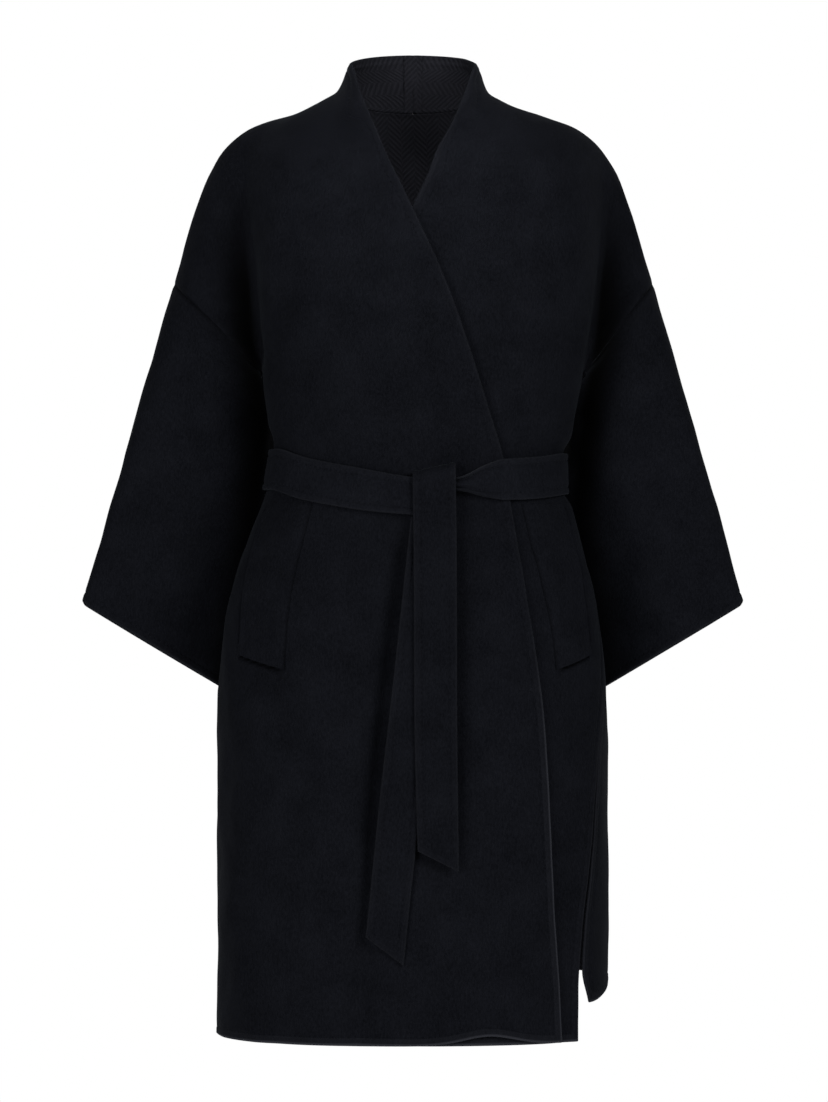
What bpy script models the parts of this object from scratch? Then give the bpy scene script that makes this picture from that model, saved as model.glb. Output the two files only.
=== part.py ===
"""Wrap coat of doubled wool, in the form it has when worn and belted.

Frame: +X to the wearer's left, -Y to the wearer's front, +Z up. The origin lies between the shoulders,
level with the base of the collar. All sizes are metres.
"""
import bpy
import numpy as np

# Cloth
CLOTH = 0.0024            # wall of the doubled wool
SEAM = 0.0003             # gap between pieces that are sewn together
LAP = 0.0080              # how far the left front lies inside the right front
LAP_START, LAP_FADE = -0.020, 0.080     # it comes in over this stretch below the neck
LAP_SIDE = 0.8            # and fades over this share of its width towards its side seam
BELT_CLOTH = 0.0040       # the belt is two layers
RIGHT, LEFT = -1, 1       # the wearer's sides, as signs of X
FRONT, BACK = -1, 1       # as signs of Y

# Levels
UNDERARM = -0.275
SLIT_TOP = -0.585
HEM_FRONT = -0.931
HEM_BACK = -0.876
HEM_BACK_DIP = 0.018      # the back hangs lower at its slit corners
HEM_BACK_POWER = 3        # larger keeps the dip closer to the hem
HEM_BACK_LEVEL = 0.6      # larger keeps more of the back hem level before it dips
HEM_WAVE = 0.009          # the right front's hem lifts here in a soft wave
HEM_WAVE_X, HEM_WAVE_HALF = 0.075, 0.050
POCKET_TOP, POCKET_BOTTOM = -0.404, -0.560
POCKET_TILT = 0.014       # the welt's end drops this much towards the front edge

# Body sections, half widths to the wearer's right and left and depths to the front and back
SQUARE = 2.4              # power of the rounded-square section
BODY_COLUMNS = ("height", "right", "left", "front", "back")
BODY = (
    (0.040, 0.168, 0.191, 0.042, 0.056),
    (0.000, 0.168, 0.191, 0.055, 0.062),
    (-0.060, 0.168, 0.191, 0.078, 0.080),
    (-0.140, 0.160, 0.189, 0.100, 0.094),
    (-0.220, 0.152, 0.180, 0.112, 0.097),
    (-0.287, 0.148, 0.167, 0.110, 0.094),
    (-0.347, 0.1425, 0.156, 0.100, 0.086),
    (-0.372, 0.1430, 0.154, 0.097, 0.083),
    (-0.396, 0.1470, 0.156, 0.098, 0.085),
    (-0.430, 0.160, 0.164, 0.106, 0.094),
    (-0.480, 0.178, 0.177, 0.117, 0.106),
    (-0.520, 0.187, 0.184, 0.122, 0.112),
    (-0.570, 0.192, 0.190, 0.127, 0.117),
    (-0.640, 0.194, 0.194, 0.130, 0.121),
    (-0.950, 0.194, 0.194, 0.133, 0.124),
)

# Front edge, its distance past the centre by height (the two fronts are mirror images)
EDGE_COLUMNS = ("height", "past_centre")
EDGE = (
    (0.036, -0.062),
    (0.004, -0.052),
    (-0.034, -0.037),
    (-0.065, -0.024),
    (-0.115, -0.001),
    (-0.172, 0.025),
    (-0.210, 0.040),
    (-0.320, 0.076),
    (-0.359, 0.0875),
    (-0.402, 0.0945),
    (-0.502, 0.111),
    (-0.575, 0.1225),
    (-0.650, 0.130),
    (-0.735, 0.134),
    (-0.950, 0.146),
)

# Outline seen from the front, from the top of the collar to the end of the dropped shoulder
OUTLINE_COLUMNS = ("half_width", "height", "depth")
OUTLINE = (
    (0.0620, 0.036, 0.004),
    (0.0665, 0.028, 0.006),
    (0.0700, 0.018, 0.008),
    (0.0750, 0.008, 0.010),
    (0.0840, 0.002, 0.011),
    (0.1085, -0.010, 0.012),
    (0.1465, -0.022, 0.013),
    (0.1660, -0.030, 0.014),
    (0.1850, -0.045, 0.015),
    (0.1965, -0.060, 0.016),
    (0.2058, -0.075, 0.018),
    (0.2170, -0.105, 0.021),
    (0.2312, -0.150, 0.025),
    (0.2402, -0.183, 0.028),
)
NECK_HALF = 0.084         # half width at the foot of the collar
RIDGE_TOP = {RIGHT: 0.168, LEFT: 0.191}
TRUNK_REACH = 0.075       # over this distance the shoulder rounds to the full depth
ARM_HALF = 0.064          # half the width of the dropped armhole
ARM_DEPTH = {FRONT: 0.032, BACK: 0.040}
VALLEY = 0.008            # softness of the fold between body and arm

# Collar at the centre back
COLLAR_BACK_TOP = (0.058, 0.050)    # depth, height
NECK_BACK_DROP = 0.010    # the back neck seam sinks this far below the shoulder

# Side seam and slit, the depth of each cut edge by height
SLIT_COLUMNS = ("height", "right_front", "right_back", "left_front", "left_back")
SLIT = (
    (-0.275, 0.000, 0.000, 0.0000, 0.0000),
    (-0.500, 0.003, 0.003, -0.0120, -0.0120),
    (-0.585, 0.004, 0.004, -0.0400, -0.0400),
    (-0.650, 0.004, 0.006, -0.0580, -0.0550),
    (-0.780, 0.004, 0.010, -0.0760, -0.0725),
    (-0.850, 0.004, 0.012, -0.0850, -0.0812),
    (-0.880, 0.004, 0.013, -0.0868, -0.0730),
    (-0.950, 0.004, 0.014, -0.0870, -0.0660),
)

# Pocket lines, as shares of the half width, at the top and bottom of the welt
POCKET_COLUMNS = ("stitched_top", "stitched_bottom", "mouth_top", "mouth_bottom")
POCKET = {RIGHT: (0.65, 0.65, 0.953, 0.885), LEFT: (0.69, 0.75, 0.953, 0.925)}

# Largest folds below and above the belt: soft troughs (depth in) and ridges (depth out, negative)
FOLD_COLUMNS = ("facing", "x_top", "z_top", "x_low", "z_low", "half_width", "depth")
FOLDS = (
    (FRONT, 0.014, -0.400, -0.010, -0.800, 0.075, 0.013),
    (FRONT, -0.085, -0.430, -0.092, -0.700, 0.030, -0.004),
    (FRONT, 0.085, -0.420, 0.100, -0.680, 0.028, -0.003),
    (FRONT, -0.060, -0.200, -0.040, -0.345, 0.045, -0.004),
    (BACK, -0.055, -0.400, -0.070, -0.780, 0.034, 0.010),
    (BACK, 0.040, -0.400, 0.062, -0.740, 0.032, 0.009),
    (BACK, -0.030, -0.160, -0.045, -0.345, 0.040, 0.006),
    (BACK, 0.065, -0.190, 0.050, -0.345, 0.036, 0.006),
)
FOLD_FADE = 0.060

# Sleeve sections from the armhole to the cuff. The inner edge lies beside and behind the body,
# and is given by its angle round the body in degrees, its clearance from it and its height.
SLEEVE_COLUMNS = ("along", "outer_x", "outer_y", "outer_z", "inner_angle", "inner_clear", "inner_z",
                  "swell_front", "swell_back")
SLEEVE = (
    (0.00, 0.2402, 0.028, -0.183, 92, 0.0050, -0.275, 0.032, 0.040),
    (0.12, 0.2512, 0.028, -0.221, 113, 0.0140, -0.314, 0.033, 0.038),
    (0.25, 0.2632, 0.028, -0.263, 121, 0.0185, -0.350, 0.034, 0.036),
    (0.50, 0.2862, 0.029, -0.344, 124, 0.0170, -0.425, 0.032, 0.032),
    (0.75, 0.3090, 0.030, -0.424, 128, 0.0180, -0.515, 0.030, 0.030),
    (1.00, 0.3316, 0.030, -0.504, 127, 0.0270, -0.600, 0.027, 0.028),
)
UNDERARM_EASE = 0.0048    # the sleeve's seam stands off the body at the underarm point
UNDERARM_SHARE = 0.14     # and closes to it over this share of the armhole

# Belt band by its way round from the left end of the knot, with its lift off the coat
BELT_COLUMNS = ("place", "z_mid", "half_height", "wall", "lift")
BELT_LEFT_END, BELT_RIGHT_END = 0.028, 0.006
BELT_ROUND = 0.30         # rounding of the belt's edges, as a share of half its wall
BELT = (
    (0.00, -0.3890, 0.0080, 0.0062, 0.0064),
    (0.03, -0.3860, 0.0130, 0.0056, 0.0060),
    (0.06, -0.3830, 0.0190, 0.0044, 0.0030),
    (0.10, -0.3810, 0.0206, 0.0040, 0.0012),
    (0.20, -0.3745, 0.0206, 0.0040, 0.0008),
    (0.50, -0.3720, 0.0206, 0.0040, 0.0006),
    (0.80, -0.3705, 0.0206, 0.0040, 0.0008),
    (0.88, -0.3810, 0.0206, 0.0040, 0.0010),
    (0.94, -0.3895, 0.0206, 0.0040, 0.0026),
    (1.00, -0.3990, 0.0186, 0.0040, 0.0064),
)

# Belt tails by height, seen from the front, and how far their middle stands off the coat
TAIL_COLUMNS = ("height", "x_mid", "half_width", "stand_off")
OVER_TAIL = (
    (-0.360, 0.0205, 0.0210, 0.0156),
    (-0.404, 0.0210, 0.0210, 0.0154),
    (-0.440, 0.0215, 0.0210, 0.0115),
    (-0.490, 0.0217, 0.0209, 0.0078),
    (-0.600, 0.0220, 0.0208, 0.0076),
    (-0.760, 0.0245, 0.0200, 0.0072),
)
UNDER_TAIL = (
    (-0.418, 0.0180, 0.0200, 0.0070),
    (-0.440, 0.0156, 0.0200, 0.0050),
    (-0.490, 0.0103, 0.0201, 0.0028),
    (-0.550, 0.0040, 0.0202, 0.0028),
    (-0.700, -0.0130, 0.0200, 0.0028),
    (-0.846, -0.0280, 0.0185, 0.0028),
)
OVER_TAIL_SLANT, UNDER_TAIL_SLANT = 0.018, 0.026    # the cut ends drop this much towards the left
END_POWER = 6             # the slant grows only close to the end
HOOK_LEVEL = -0.377       # the over tail turns over the band at this height
HOOK_LOW = -0.402         # and is tucked behind it down to here
HOOK_BACK = 0.0026        # where its middle stands off the coat by this much

# Mesh counts
EDGE_STEPS, CHEST_STEPS, POCKET_STEPS, SIDE_STEPS = 4, 5, 3, 4
ARM_STEPS, NECK_STEPS, SLEEVE_STEPS = 8, 5, 9
NECK_SHARE = 0.40         # the back's line up to the collar's foot, as a share of the half width
FOOT_SHARE = 0.40         # the front's line up to the collar's foot, as a share of the way to the pocket
BELT_STEPS, KNOT_STEPS, TAIL_STEPS, HOOK_STEPS = 40, 8, 14, 6
KNOT_SHARE = 0.10         # of the band's way round, the closely stepped stretch at each end
OUTLINE_STEPS, DENSE_OUTLINE = 240, 900     # points for distances to the outline and for places on it
ANGLE_STEP, AXIS_STEP = 1e-4, 0.05          # for directions found from two close places
WELD = 1e-6               # points closer than this are one point of a seam
JOINED_LEVELS = (SLIT_TOP, POCKET_BOTTOM, -0.510, -0.455, -0.425, POCKET_TOP, -0.386, -0.372, -0.356,
                 -0.335, -0.305, UNDERARM)
FRONT_SLIT_LEVELS = (HEM_FRONT, -0.895, -0.850, -0.780, -0.710, -0.645)
BACK_SLIT_LEVELS = (HEM_BACK, -0.850, -0.790, -0.720, -0.650)

# Colour
WOOL = (0.012, 0.013, 0.017, 1.0)
ROUGH = 0.95


# Tables and curves
def smooth(xs, ys, x):
    """A smooth line through a table that never runs past its values."""
    xs, ys = np.asarray(xs, float), np.asarray(ys, float)
    if xs[0] > xs[-1]:
        xs, ys = xs[::-1], ys[::-1]
    run = np.diff(xs)
    slope = np.diff(ys) / run
    tangent = np.concatenate([slope[:1], np.zeros(len(xs) - 2), slope[-1:]])
    before, after = slope[:-1], slope[1:]
    same_way = before * after > 0
    weight_a, weight_b = 2 * run[1:] + run[:-1], run[1:] + 2 * run[:-1]
    safe_a, safe_b = np.where(same_way, before, 1.0), np.where(same_way, after, 1.0)
    mean = (weight_a + weight_b) / (weight_a / safe_a + weight_b / safe_b)
    tangent[1:-1] = np.where(same_way, mean, 0.0)
    x = np.clip(np.asarray(x, float), xs[0], xs[-1])
    k = np.clip(np.searchsorted(xs, x, side="right") - 1, 0, len(run) - 1)
    t = (x - xs[k]) / run[k]
    near, far = ys[k], ys[k + 1]
    blend = t * t * (3 - 2 * t)
    lean_near = t * (1 - t) ** 2 * run[k] * tangent[k]
    lean_far = t * t * (t - 1) * run[k] * tangent[k + 1]
    return near + (far - near) * blend + lean_near + lean_far


def column(table, columns, name, at):
    """One named column of a table, read at a place in its first column."""
    rows = np.array(table)
    return smooth(rows[:, 0], rows[:, columns.index(name)], at)


def body(name, z):
    """One column of the body's sections at a height."""
    return column(BODY, BODY_COLUMNS, name, z)


def half_width(x_sign, z):
    """Half width of the body on the side that x_sign points to."""
    return np.where(np.asarray(x_sign) < 0, body("right", z), body("left", z))


def ease(t):
    """A smooth step from 0 to 1."""
    t = np.clip(t, 0.0, 1.0)
    return t * t * (3 - 2 * t)


def bump(offset):
    """A soft hill, 1 in the middle and 0 beyond twice the half width."""
    return np.exp(-2.0 * np.asarray(offset) ** 2)


# The body below the underarm: rounded-square sections, by the angle from the centre front
def angle_at_x(x, z):
    """The angle on the front half at which the section has the half width x."""
    share = np.clip(np.abs(x) / half_width(x, z), 0.0, 1.0)
    return np.sign(x) * np.arcsin(share ** (SQUARE / 2))


def angle_at_y(side, y, z):
    """The angle, on one side, at which the section has the depth y near the side seam."""
    depth = np.where(np.asarray(y) < 0, body("front", z), body("back", z))
    share = np.abs(y) / depth
    return side * (np.pi / 2 + np.sign(y) * np.arcsin(share ** (SQUARE / 2)))


def fold_depth(x, z, facing):
    """How far the named folds push the cloth in at a place on the front or back."""
    depth = np.zeros(np.broadcast(x, z).shape)
    for row in FOLDS:
        fold = dict(zip(FOLD_COLUMNS, row))
        along = np.clip((fold["z_top"] - z) / (fold["z_top"] - fold["z_low"]), 0.0, 1.0)
        middle = fold["x_top"] + (fold["x_low"] - fold["x_top"]) * along
        ends = ease((fold["z_top"] - z) / FOLD_FADE) * ease((z - fold["z_low"]) / (2 * FOLD_FADE))
        push = fold["depth"] * ends * bump((x - middle) / fold["half_width"])
        depth = depth + np.where(facing == fold["facing"], push, 0.0)
    return depth


def skin(angle, z, folded=True):
    """Point on the body's section at an angle from the centre front (plus is the wearer's left)."""
    sine, cosine = np.sin(angle), np.cos(angle)
    x = np.sign(sine) * half_width(sine, z) * np.abs(sine) ** (2 / SQUARE)
    depth = np.where(cosine > 0, body("front", z), body("back", z))
    y = -np.sign(cosine) * depth * np.abs(cosine) ** (2 / SQUARE)
    facing = np.where(cosine > 0, FRONT, BACK)
    if folded:
        y = y - facing * fold_depth(x, z, facing) * np.abs(cosine)
    return np.stack(np.broadcast_arrays(x, y, z), axis=-1)


# The body above the underarm: trunk and dropped shoulder, as depth behind the front view
def outline(side, count=OUTLINE_STEPS, from_neck=False):
    """The shoulder outline on one side as dense points."""
    rows = np.array(OUTLINE)
    step = np.concatenate([[0.0], np.cumsum(np.linalg.norm(np.diff(rows, axis=0), axis=1))])
    start = np.interp(NECK_HALF, rows[:, 0], step) if from_neck else 0.0
    along = np.linspace(start, step[-1], count)
    line = {name: smooth(step, rows[:, k], along) for k, name in enumerate(OUTLINE_COLUMNS)}
    return np.stack([side * line["half_width"], line["depth"], line["height"]], axis=-1)


def outline_places(side, half_widths):
    """Points of the outline at given half widths."""
    points = outline(side, DENSE_OUTLINE)
    widths = np.abs(points[:, 0])
    return np.stack([np.interp(half_widths, widths, points[:, k]) for k in range(3)], axis=-1)


def from_shoulder(x, z, facing):
    """Distance from the outline in the front view, and the outline's own depth there."""
    flat_x, flat_z = np.ravel(x), np.ravel(z)
    gap = np.full(flat_x.shape, np.inf)
    depth = np.zeros(flat_x.shape)
    for side in (RIGHT, LEFT):
        line = outline(side, from_neck=facing == BACK)
        apart = np.hypot(flat_x[:, None] - line[None, :, 0], flat_z[:, None] - line[None, :, 2])
        nearest = apart.argmin(axis=1)
        closer = apart.min(axis=1) < gap
        gap = np.where(closer, apart.min(axis=1), gap)
        depth = np.where(closer, line[nearest, 1], depth)
    return gap.reshape(np.shape(x)), depth.reshape(np.shape(x))


def upper_depth(x, z, facing):
    """Depth of the cloth above the underarm: trunk and upper arm, joined by a soft valley."""
    gap, seam_y = from_shoulder(x, z, facing)
    deep = body("front" if facing == FRONT else "back", z)
    share = np.clip(np.abs(x) / half_width(x, z), 0.0, 1.0)
    trunk = facing * deep * (1 - share ** SQUARE) ** (1 / SQUARE)
    trunk = trunk - facing * fold_depth(x, z, np.full(np.shape(x), facing))
    rise = np.sqrt(1 - (1 - np.clip(gap / TRUNK_REACH, 0.0, 1.0)) ** 2)
    trunk_y = seam_y + (trunk - seam_y) * rise
    across = np.clip(gap / (2 * ARM_HALF), 0.0, 1.0)
    arm_y = seam_y * (1 - across) + facing * ARM_DEPTH[facing] * np.sqrt(1 - (2 * across - 1) ** 2)
    soften = np.sqrt((trunk_y - arm_y) ** 2 + (VALLEY * rise) ** 2)
    return 0.5 * (trunk_y + arm_y + facing * soften)


def arm_shares():
    """Shares of the way from underarm to shoulder, closer together at both ends."""
    return (1 - np.cos(np.pi * np.linspace(0.0, 1.0, ARM_STEPS + 1))) / 2


def split(*parts):
    """Evenly spaced values through several stretches, given as (start, end, steps)."""
    values = [np.linspace(start, end, steps, endpoint=False) for start, end, steps in parts]
    return np.concatenate(values + [[parts[-1][1]]])


# Panels
def pocket_share(side, line, z):
    """Where a pocket line (stitched or mouth) lies, as a share of the half width."""
    places = dict(zip(POCKET_COLUMNS, POCKET[side]))
    top, bottom = places[line + "_top"], places[line + "_bottom"]
    return top + (bottom - top) * ease((POCKET_TOP - z) / (POCKET_TOP - POCKET_BOTTOM))


def front_columns():
    """Column numbers of the collar foot, the stitched pocket line and the pocket mouth."""
    foot = EDGE_STEPS
    stitched = foot + CHEST_STEPS
    return foot, stitched, stitched + POCKET_STEPS


def seam_angle(side, facing, z):
    """Angle of the side seam, or of the slit's cut edge below it, on the front or the back."""
    cut_edge = "_front" if facing == FRONT or z >= SLIT_TOP else "_back"
    name = ("right" if side == RIGHT else "left") + cut_edge
    return angle_at_y(side, column(SLIT, SLIT_COLUMNS, name, z), z)


def mouth_way(side, z):
    """Share of the way from the stitched pocket line to the side seam at which the pocket mouth lies."""
    half = half_width(side, z)
    stitched = angle_at_x(side * pocket_share(side, "stitched", z) * half, z)
    mouth = angle_at_x(side * pocket_share(side, "mouth", z) * half, z)
    return (mouth - stitched) / (seam_angle(side, FRONT, z) - stitched)


def front_angles(side, z):
    """Angles of a front's columns at one level, from its front edge to its side seam."""
    edge = angle_at_x(-side * column(EDGE, EDGE_COLUMNS, "past_centre", z), z)
    half = half_width(side, z)
    stitched = angle_at_x(side * pocket_share(side, "stitched", z) * half, z)
    seam = seam_angle(side, FRONT, z)
    mouth = stitched + (seam - stitched) * mouth_way(side, max(z, POCKET_BOTTOM))
    foot = edge + (stitched - edge) * FOOT_SHARE
    return split((edge, foot, EDGE_STEPS), (foot, stitched, CHEST_STEPS),
                 (stitched, mouth, POCKET_STEPS), (mouth, seam, SIDE_STEPS))


def front_low(side):
    """The front below the underarm, row by row from the hem."""
    levels = FRONT_SLIT_LEVELS + JOINED_LEVELS
    _, stitched, mouth = front_columns()
    rows = []
    for z in levels:
        angles = front_angles(side, z)
        heights = np.full(len(angles), z)
        if z == POCKET_BOTTOM:
            tilt = np.linspace(-0.5, 0.5, POCKET_STEPS + 1) * POCKET_TILT
            heights[stitched: mouth + 1] += tilt
        row = skin(angles, heights)
        if side == RIGHT and z == HEM_FRONT:
            row[:, 2] += HEM_WAVE * bump((row[:, 0] - HEM_WAVE_X) / HEM_WAVE_HALF)
        rows.append(row)
    return np.array(rows)


def shoulder_row(side):
    """The outline's points from the collar foot to the end of the dropped shoulder."""
    ridge = RIDGE_TOP[side]
    middle = (NECK_HALF + ridge) / 2
    widths = split((NECK_HALF, middle, CHEST_STEPS), (middle, ridge, POCKET_STEPS),
                   (ridge, OUTLINE[-1][0], SIDE_STEPS))
    return outline_places(side, widths)


def collar_side(side):
    """The outline's points from the collar's top to its foot."""
    return outline_places(side, np.linspace(OUTLINE[0][0], NECK_HALF, EDGE_STEPS + 1))


def ridge_shift(side, start, end, share):
    """How far the ridge before the arm lies from the straight way between its two ends."""
    z = start[2] + (end[2] - start[2]) * share
    straight = start[0] + (end[0] - start[0]) * share
    ridge = side * half_width(side, z) * np.interp(share, [0.0, 1.0], [POCKET[side][2], 1.0])
    return ridge - straight


def upper_rows(side, base, top, ridge_column, facing, edge_column=None):
    """Rows from the underarm level to the shoulder, given the lowest and the highest row."""
    steps = np.arange(len(base))
    beside = np.interp(steps, [ridge_column - POCKET_STEPS, ridge_column, len(base) - 1], [0, 1, 0])
    rows = []
    for share in arm_shares()[1:-1]:
        row = base * (1 - share) + top * share
        row[:, 0] += beside * ridge_shift(side, base[ridge_column], top[ridge_column], share)
        if edge_column is not None:
            true_x = -side * column(EDGE, EDGE_COLUMNS, "past_centre", row[0, 2])
            row[:, 0] += np.interp(steps, [0, edge_column], [1, 0]) * (true_x - row[0, 0])
        row[:, 1] = upper_depth(row[:, 0], row[:, 2], facing)
        rows.append(row)
    return np.array(rows + [top])


def collar_turns():
    """Turns of the collar's rows from the shoulder (0) to the centre back (a right angle)."""
    return np.linspace(0.0, np.pi / 2, NECK_STEPS + 1)


def collar_rows(side):
    """Half of the stand collar, from the shoulder round to the centre back; columns from top to foot."""
    start = collar_side(side)
    shares = np.linspace(0.0, 1.0, EDGE_STEPS + 1)
    flare = start - (start[0] + (start[-1] - start[0]) * shares[:, None])
    rows = []
    for turn in collar_turns()[1:]:
        top, foot = collar_ends(side, turn)
        rows.append(top + (foot - top) * shares[:, None] + flare * np.cos(turn))
    return np.array(rows)


def collar_ends(side, turn):
    """Top and foot of the collar at a turn from the shoulder (0) to the centre back (a right angle)."""
    top_x, top_z, top_y = OUTLINE[0]
    back_y, back_z = COLLAR_BACK_TOP
    top = np.array([side * top_x * np.cos(turn), top_y + (back_y - top_y) * np.sin(turn),
                    top_z + (back_z - top_z) * np.sin(turn)])
    neck_z = outline_places(side, [NECK_HALF])[0][2]
    foot_x, foot_z = side * NECK_HALF * np.cos(turn), neck_z - NECK_BACK_DROP * np.sin(turn) ** 2
    foot_y = upper_depth(np.array([foot_x]), np.array([foot_z]), BACK)[0]
    return top, np.array([foot_x, foot_y, foot_z])


def tuck(points, inward):
    """Moves the under front inside the over front, fading out at its side seam and shoulder."""
    across = ease((1 - np.linspace(0.0, 1.0, points.shape[1])) / LAP_SIDE)
    below_neck = ease((LAP_START - points[:, :1, 2]) / LAP_FADE)
    return points + inward * (LAP * across[None, :] * below_neck)[..., None]


def back_angles(side, z):
    """Angles of half the back at one level, from the centre back to the side seam."""
    seam = seam_angle(side, BACK, z)
    half = half_width(side, z)
    ridge = side * np.pi - angle_at_x(side * POCKET[side][2] * half, z)
    inner = side * np.pi - angle_at_x(side * NECK_SHARE * half, z)
    return split((side * np.pi, inner, NECK_STEPS), (inner, ridge, CHEST_STEPS + POCKET_STEPS),
                 (ridge, seam, SIDE_STEPS))


def back_half(side):
    """Half the back, row by row from the hem; columns from the centre back to the side."""
    rows = []
    for z in BACK_SLIT_LEVELS + JOINED_LEVELS:
        angles = back_angles(side, z)
        row = skin(angles, np.full(len(angles), z))
        if z in BACK_SLIT_LEVELS:
            fall = (SLIT_TOP - z) / (SLIT_TOP - HEM_BACK)
            beside = np.linspace(-HEM_BACK_LEVEL, 1.0, len(angles))
            row[:, 2] -= HEM_BACK_DIP * fall ** HEM_BACK_POWER * ease(beside)
        rows.append(row)
    neck = np.array([collar_ends(side, turn)[1] for turn in collar_turns()[:0:-1]])
    top = np.concatenate([neck, shoulder_row(side)])
    ridge_column = NECK_STEPS + CHEST_STEPS + POCKET_STEPS
    return np.concatenate([rows, upper_rows(side, rows[-1], top, ridge_column, BACK)])


def sleeve_rings(side, front_loop, back_loop):
    """Rings of a sleeve from the armhole to the cuff, each front half then back half from the underarm."""
    shares = arm_shares()
    swell = np.sin(np.pi * np.linspace(0.0, 1.0, ARM_STEPS + 1))
    ease_off = UNDERARM_EASE * np.clip(1 - shares / UNDERARM_SHARE, 0.0, 1.0)[:, None]
    along_seam = (front_loop[-1] - front_loop[0]) / np.linalg.norm(front_loop[-1] - front_loop[0])
    away = side * np.cross([0.0, 1.0, 0.0], along_seam)
    front_loop, back_loop = front_loop + away * ease_off, back_loop + away * ease_off
    rings = [np.concatenate([front_loop, back_loop[-2:0:-1]])]

    def ends(along):
        value = {name: column(SLEEVE, SLEEVE_COLUMNS, name, along) for name in SLEEVE_COLUMNS[1:]}
        outer = np.array([side * value["outer_x"], value["outer_y"], value["outer_z"]])
        angle = np.array([side * np.radians(value["inner_angle"])])
        level = np.array([value["inner_z"]])
        inner = skin(angle, level, False) + outward(angle, level) * value["inner_clear"]
        return outer, inner[0], value

    for along in np.linspace(0.0, 1.0, SLEEVE_STEPS + 1)[1:]:
        outer, inner, value = ends(along)
        ahead, behind = ends(min(along + AXIS_STEP, 1.0)), ends(along - AXIS_STEP)
        axis = (ahead[0] + ahead[1]) - (behind[0] + behind[1])
        forward = np.cross(outer - inner, axis)
        forward *= -np.sign(forward[1]) / np.linalg.norm(forward)
        flat = inner + (outer - inner) * shares[:, None]
        front = flat + forward * (value["swell_front"] * swell)[:, None]
        back = flat - forward * (value["swell_back"] * swell)[:, None]
        rings.append(np.concatenate([front, back[-2:0:-1]]))
    return np.array(rings)


# Cloth walls
def grid_faces(numbers):
    """Triangles of a grid of vertex numbers, cut along the same diagonal everywhere."""
    a, b = numbers[:-1, :-1], numbers[:-1, 1:]
    c, d = numbers[1:, 1:], numbers[1:, :-1]
    pairs = np.stack([np.stack([a, b, c], -1), np.stack([a, c, d], -1)], axis=2)
    return pairs.reshape(-1, 3)


def sheet(name, points, faces, inside, shift):
    """One panel before it gets its wall, turned so that its faces look away from the inside."""
    corners = points[faces]
    normal = np.cross(corners[:, 1] - corners[:, 0], corners[:, 2] - corners[:, 0])
    if (normal * (corners.mean(axis=1) - inside(corners.mean(axis=1)))).sum() < 0:
        faces = faces[:, ::-1]
    return {"name": name, "points": points, "faces": faces, "shift": shift}


def shared_normals(sheets):
    """Normals at every point, the same for points of different panels that meet in a seam."""
    points = np.concatenate([one["points"] for one in sheets])
    counts = np.cumsum([0] + [len(one["points"]) for one in sheets])
    faces = np.concatenate([one["faces"] + start for one, start in zip(sheets, counts)])
    corners = points[faces]
    normal = np.cross(corners[:, 1] - corners[:, 0], corners[:, 2] - corners[:, 0])
    _, group = np.unique(np.round(points / WELD).astype(np.int64), axis=0, return_inverse=True)
    group = group.reshape(-1)
    total = np.zeros((group.max() + 1, 3))
    for k in range(3):
        np.add.at(total, group[faces[:, k]], normal)
    total /= np.linalg.norm(total, axis=1, keepdims=True)
    every = total[group]
    return [every[start:stop] for start, stop in zip(counts[:-1], counts[1:])]


def wall(one, normals, thick, offset=0.0):
    """Closed wall of cloth round a panel's points: two skins and a rim.

    The rim's diagonals depend only on where its points lie, so that the rims along a seam are parallel.
    """
    base = one["points"] + one["shift"] + normals * offset
    outer, inner = base + normals * thick / 2, base - normals * thick / 2
    count = len(base)
    faces = one["faces"]
    edges = np.concatenate([faces[:, [0, 1]], faces[:, [1, 2]], faces[:, [2, 0]]])
    _, first, uses = np.unique(np.sort(edges, axis=1), axis=0, return_index=True, return_counts=True)
    skins = [tuple(f) for f in faces] + [tuple(f[::-1] + count) for f in faces]
    rims = []
    for a, b in edges[first[uses == 1]]:
        if tuple(one["points"][a]) > tuple(one["points"][b]):
            rims += [(b, a, b + count), (a, a + count, b + count)]
        else:
            rims += [(b, a, a + count), (b, a + count, b + count)]
    return np.concatenate([outer, inner]), skins + rims


def add_piece(name, points, faces):
    """A named object with its own wool material."""
    mesh = bpy.data.meshes.new(name)
    mesh.from_pydata([tuple(map(float, p)) for p in points], [], [tuple(map(int, f)) for f in faces])
    mesh.update()
    material = bpy.data.materials.new(name + "_wool")
    material.use_nodes = True
    shader = material.node_tree.nodes["Principled BSDF"]
    shader.inputs["Base Color"].default_value = WOOL
    shader.inputs["Roughness"].default_value = ROUGH
    mesh.materials.append(material)
    piece = bpy.data.objects.new(name, mesh)
    bpy.context.scene.collection.objects.link(piece)
    return piece


def toward(points, neighbours):
    """A move of half the seam gap from each point towards its neighbour inside the panel."""
    away = neighbours - points
    return away / np.linalg.norm(away, axis=-1, keepdims=True) * (SEAM / 2)


def body_axis(points):
    """The places on the upright axis level with given points."""
    return points * np.array([0.0, 0.0, 1.0])


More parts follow.
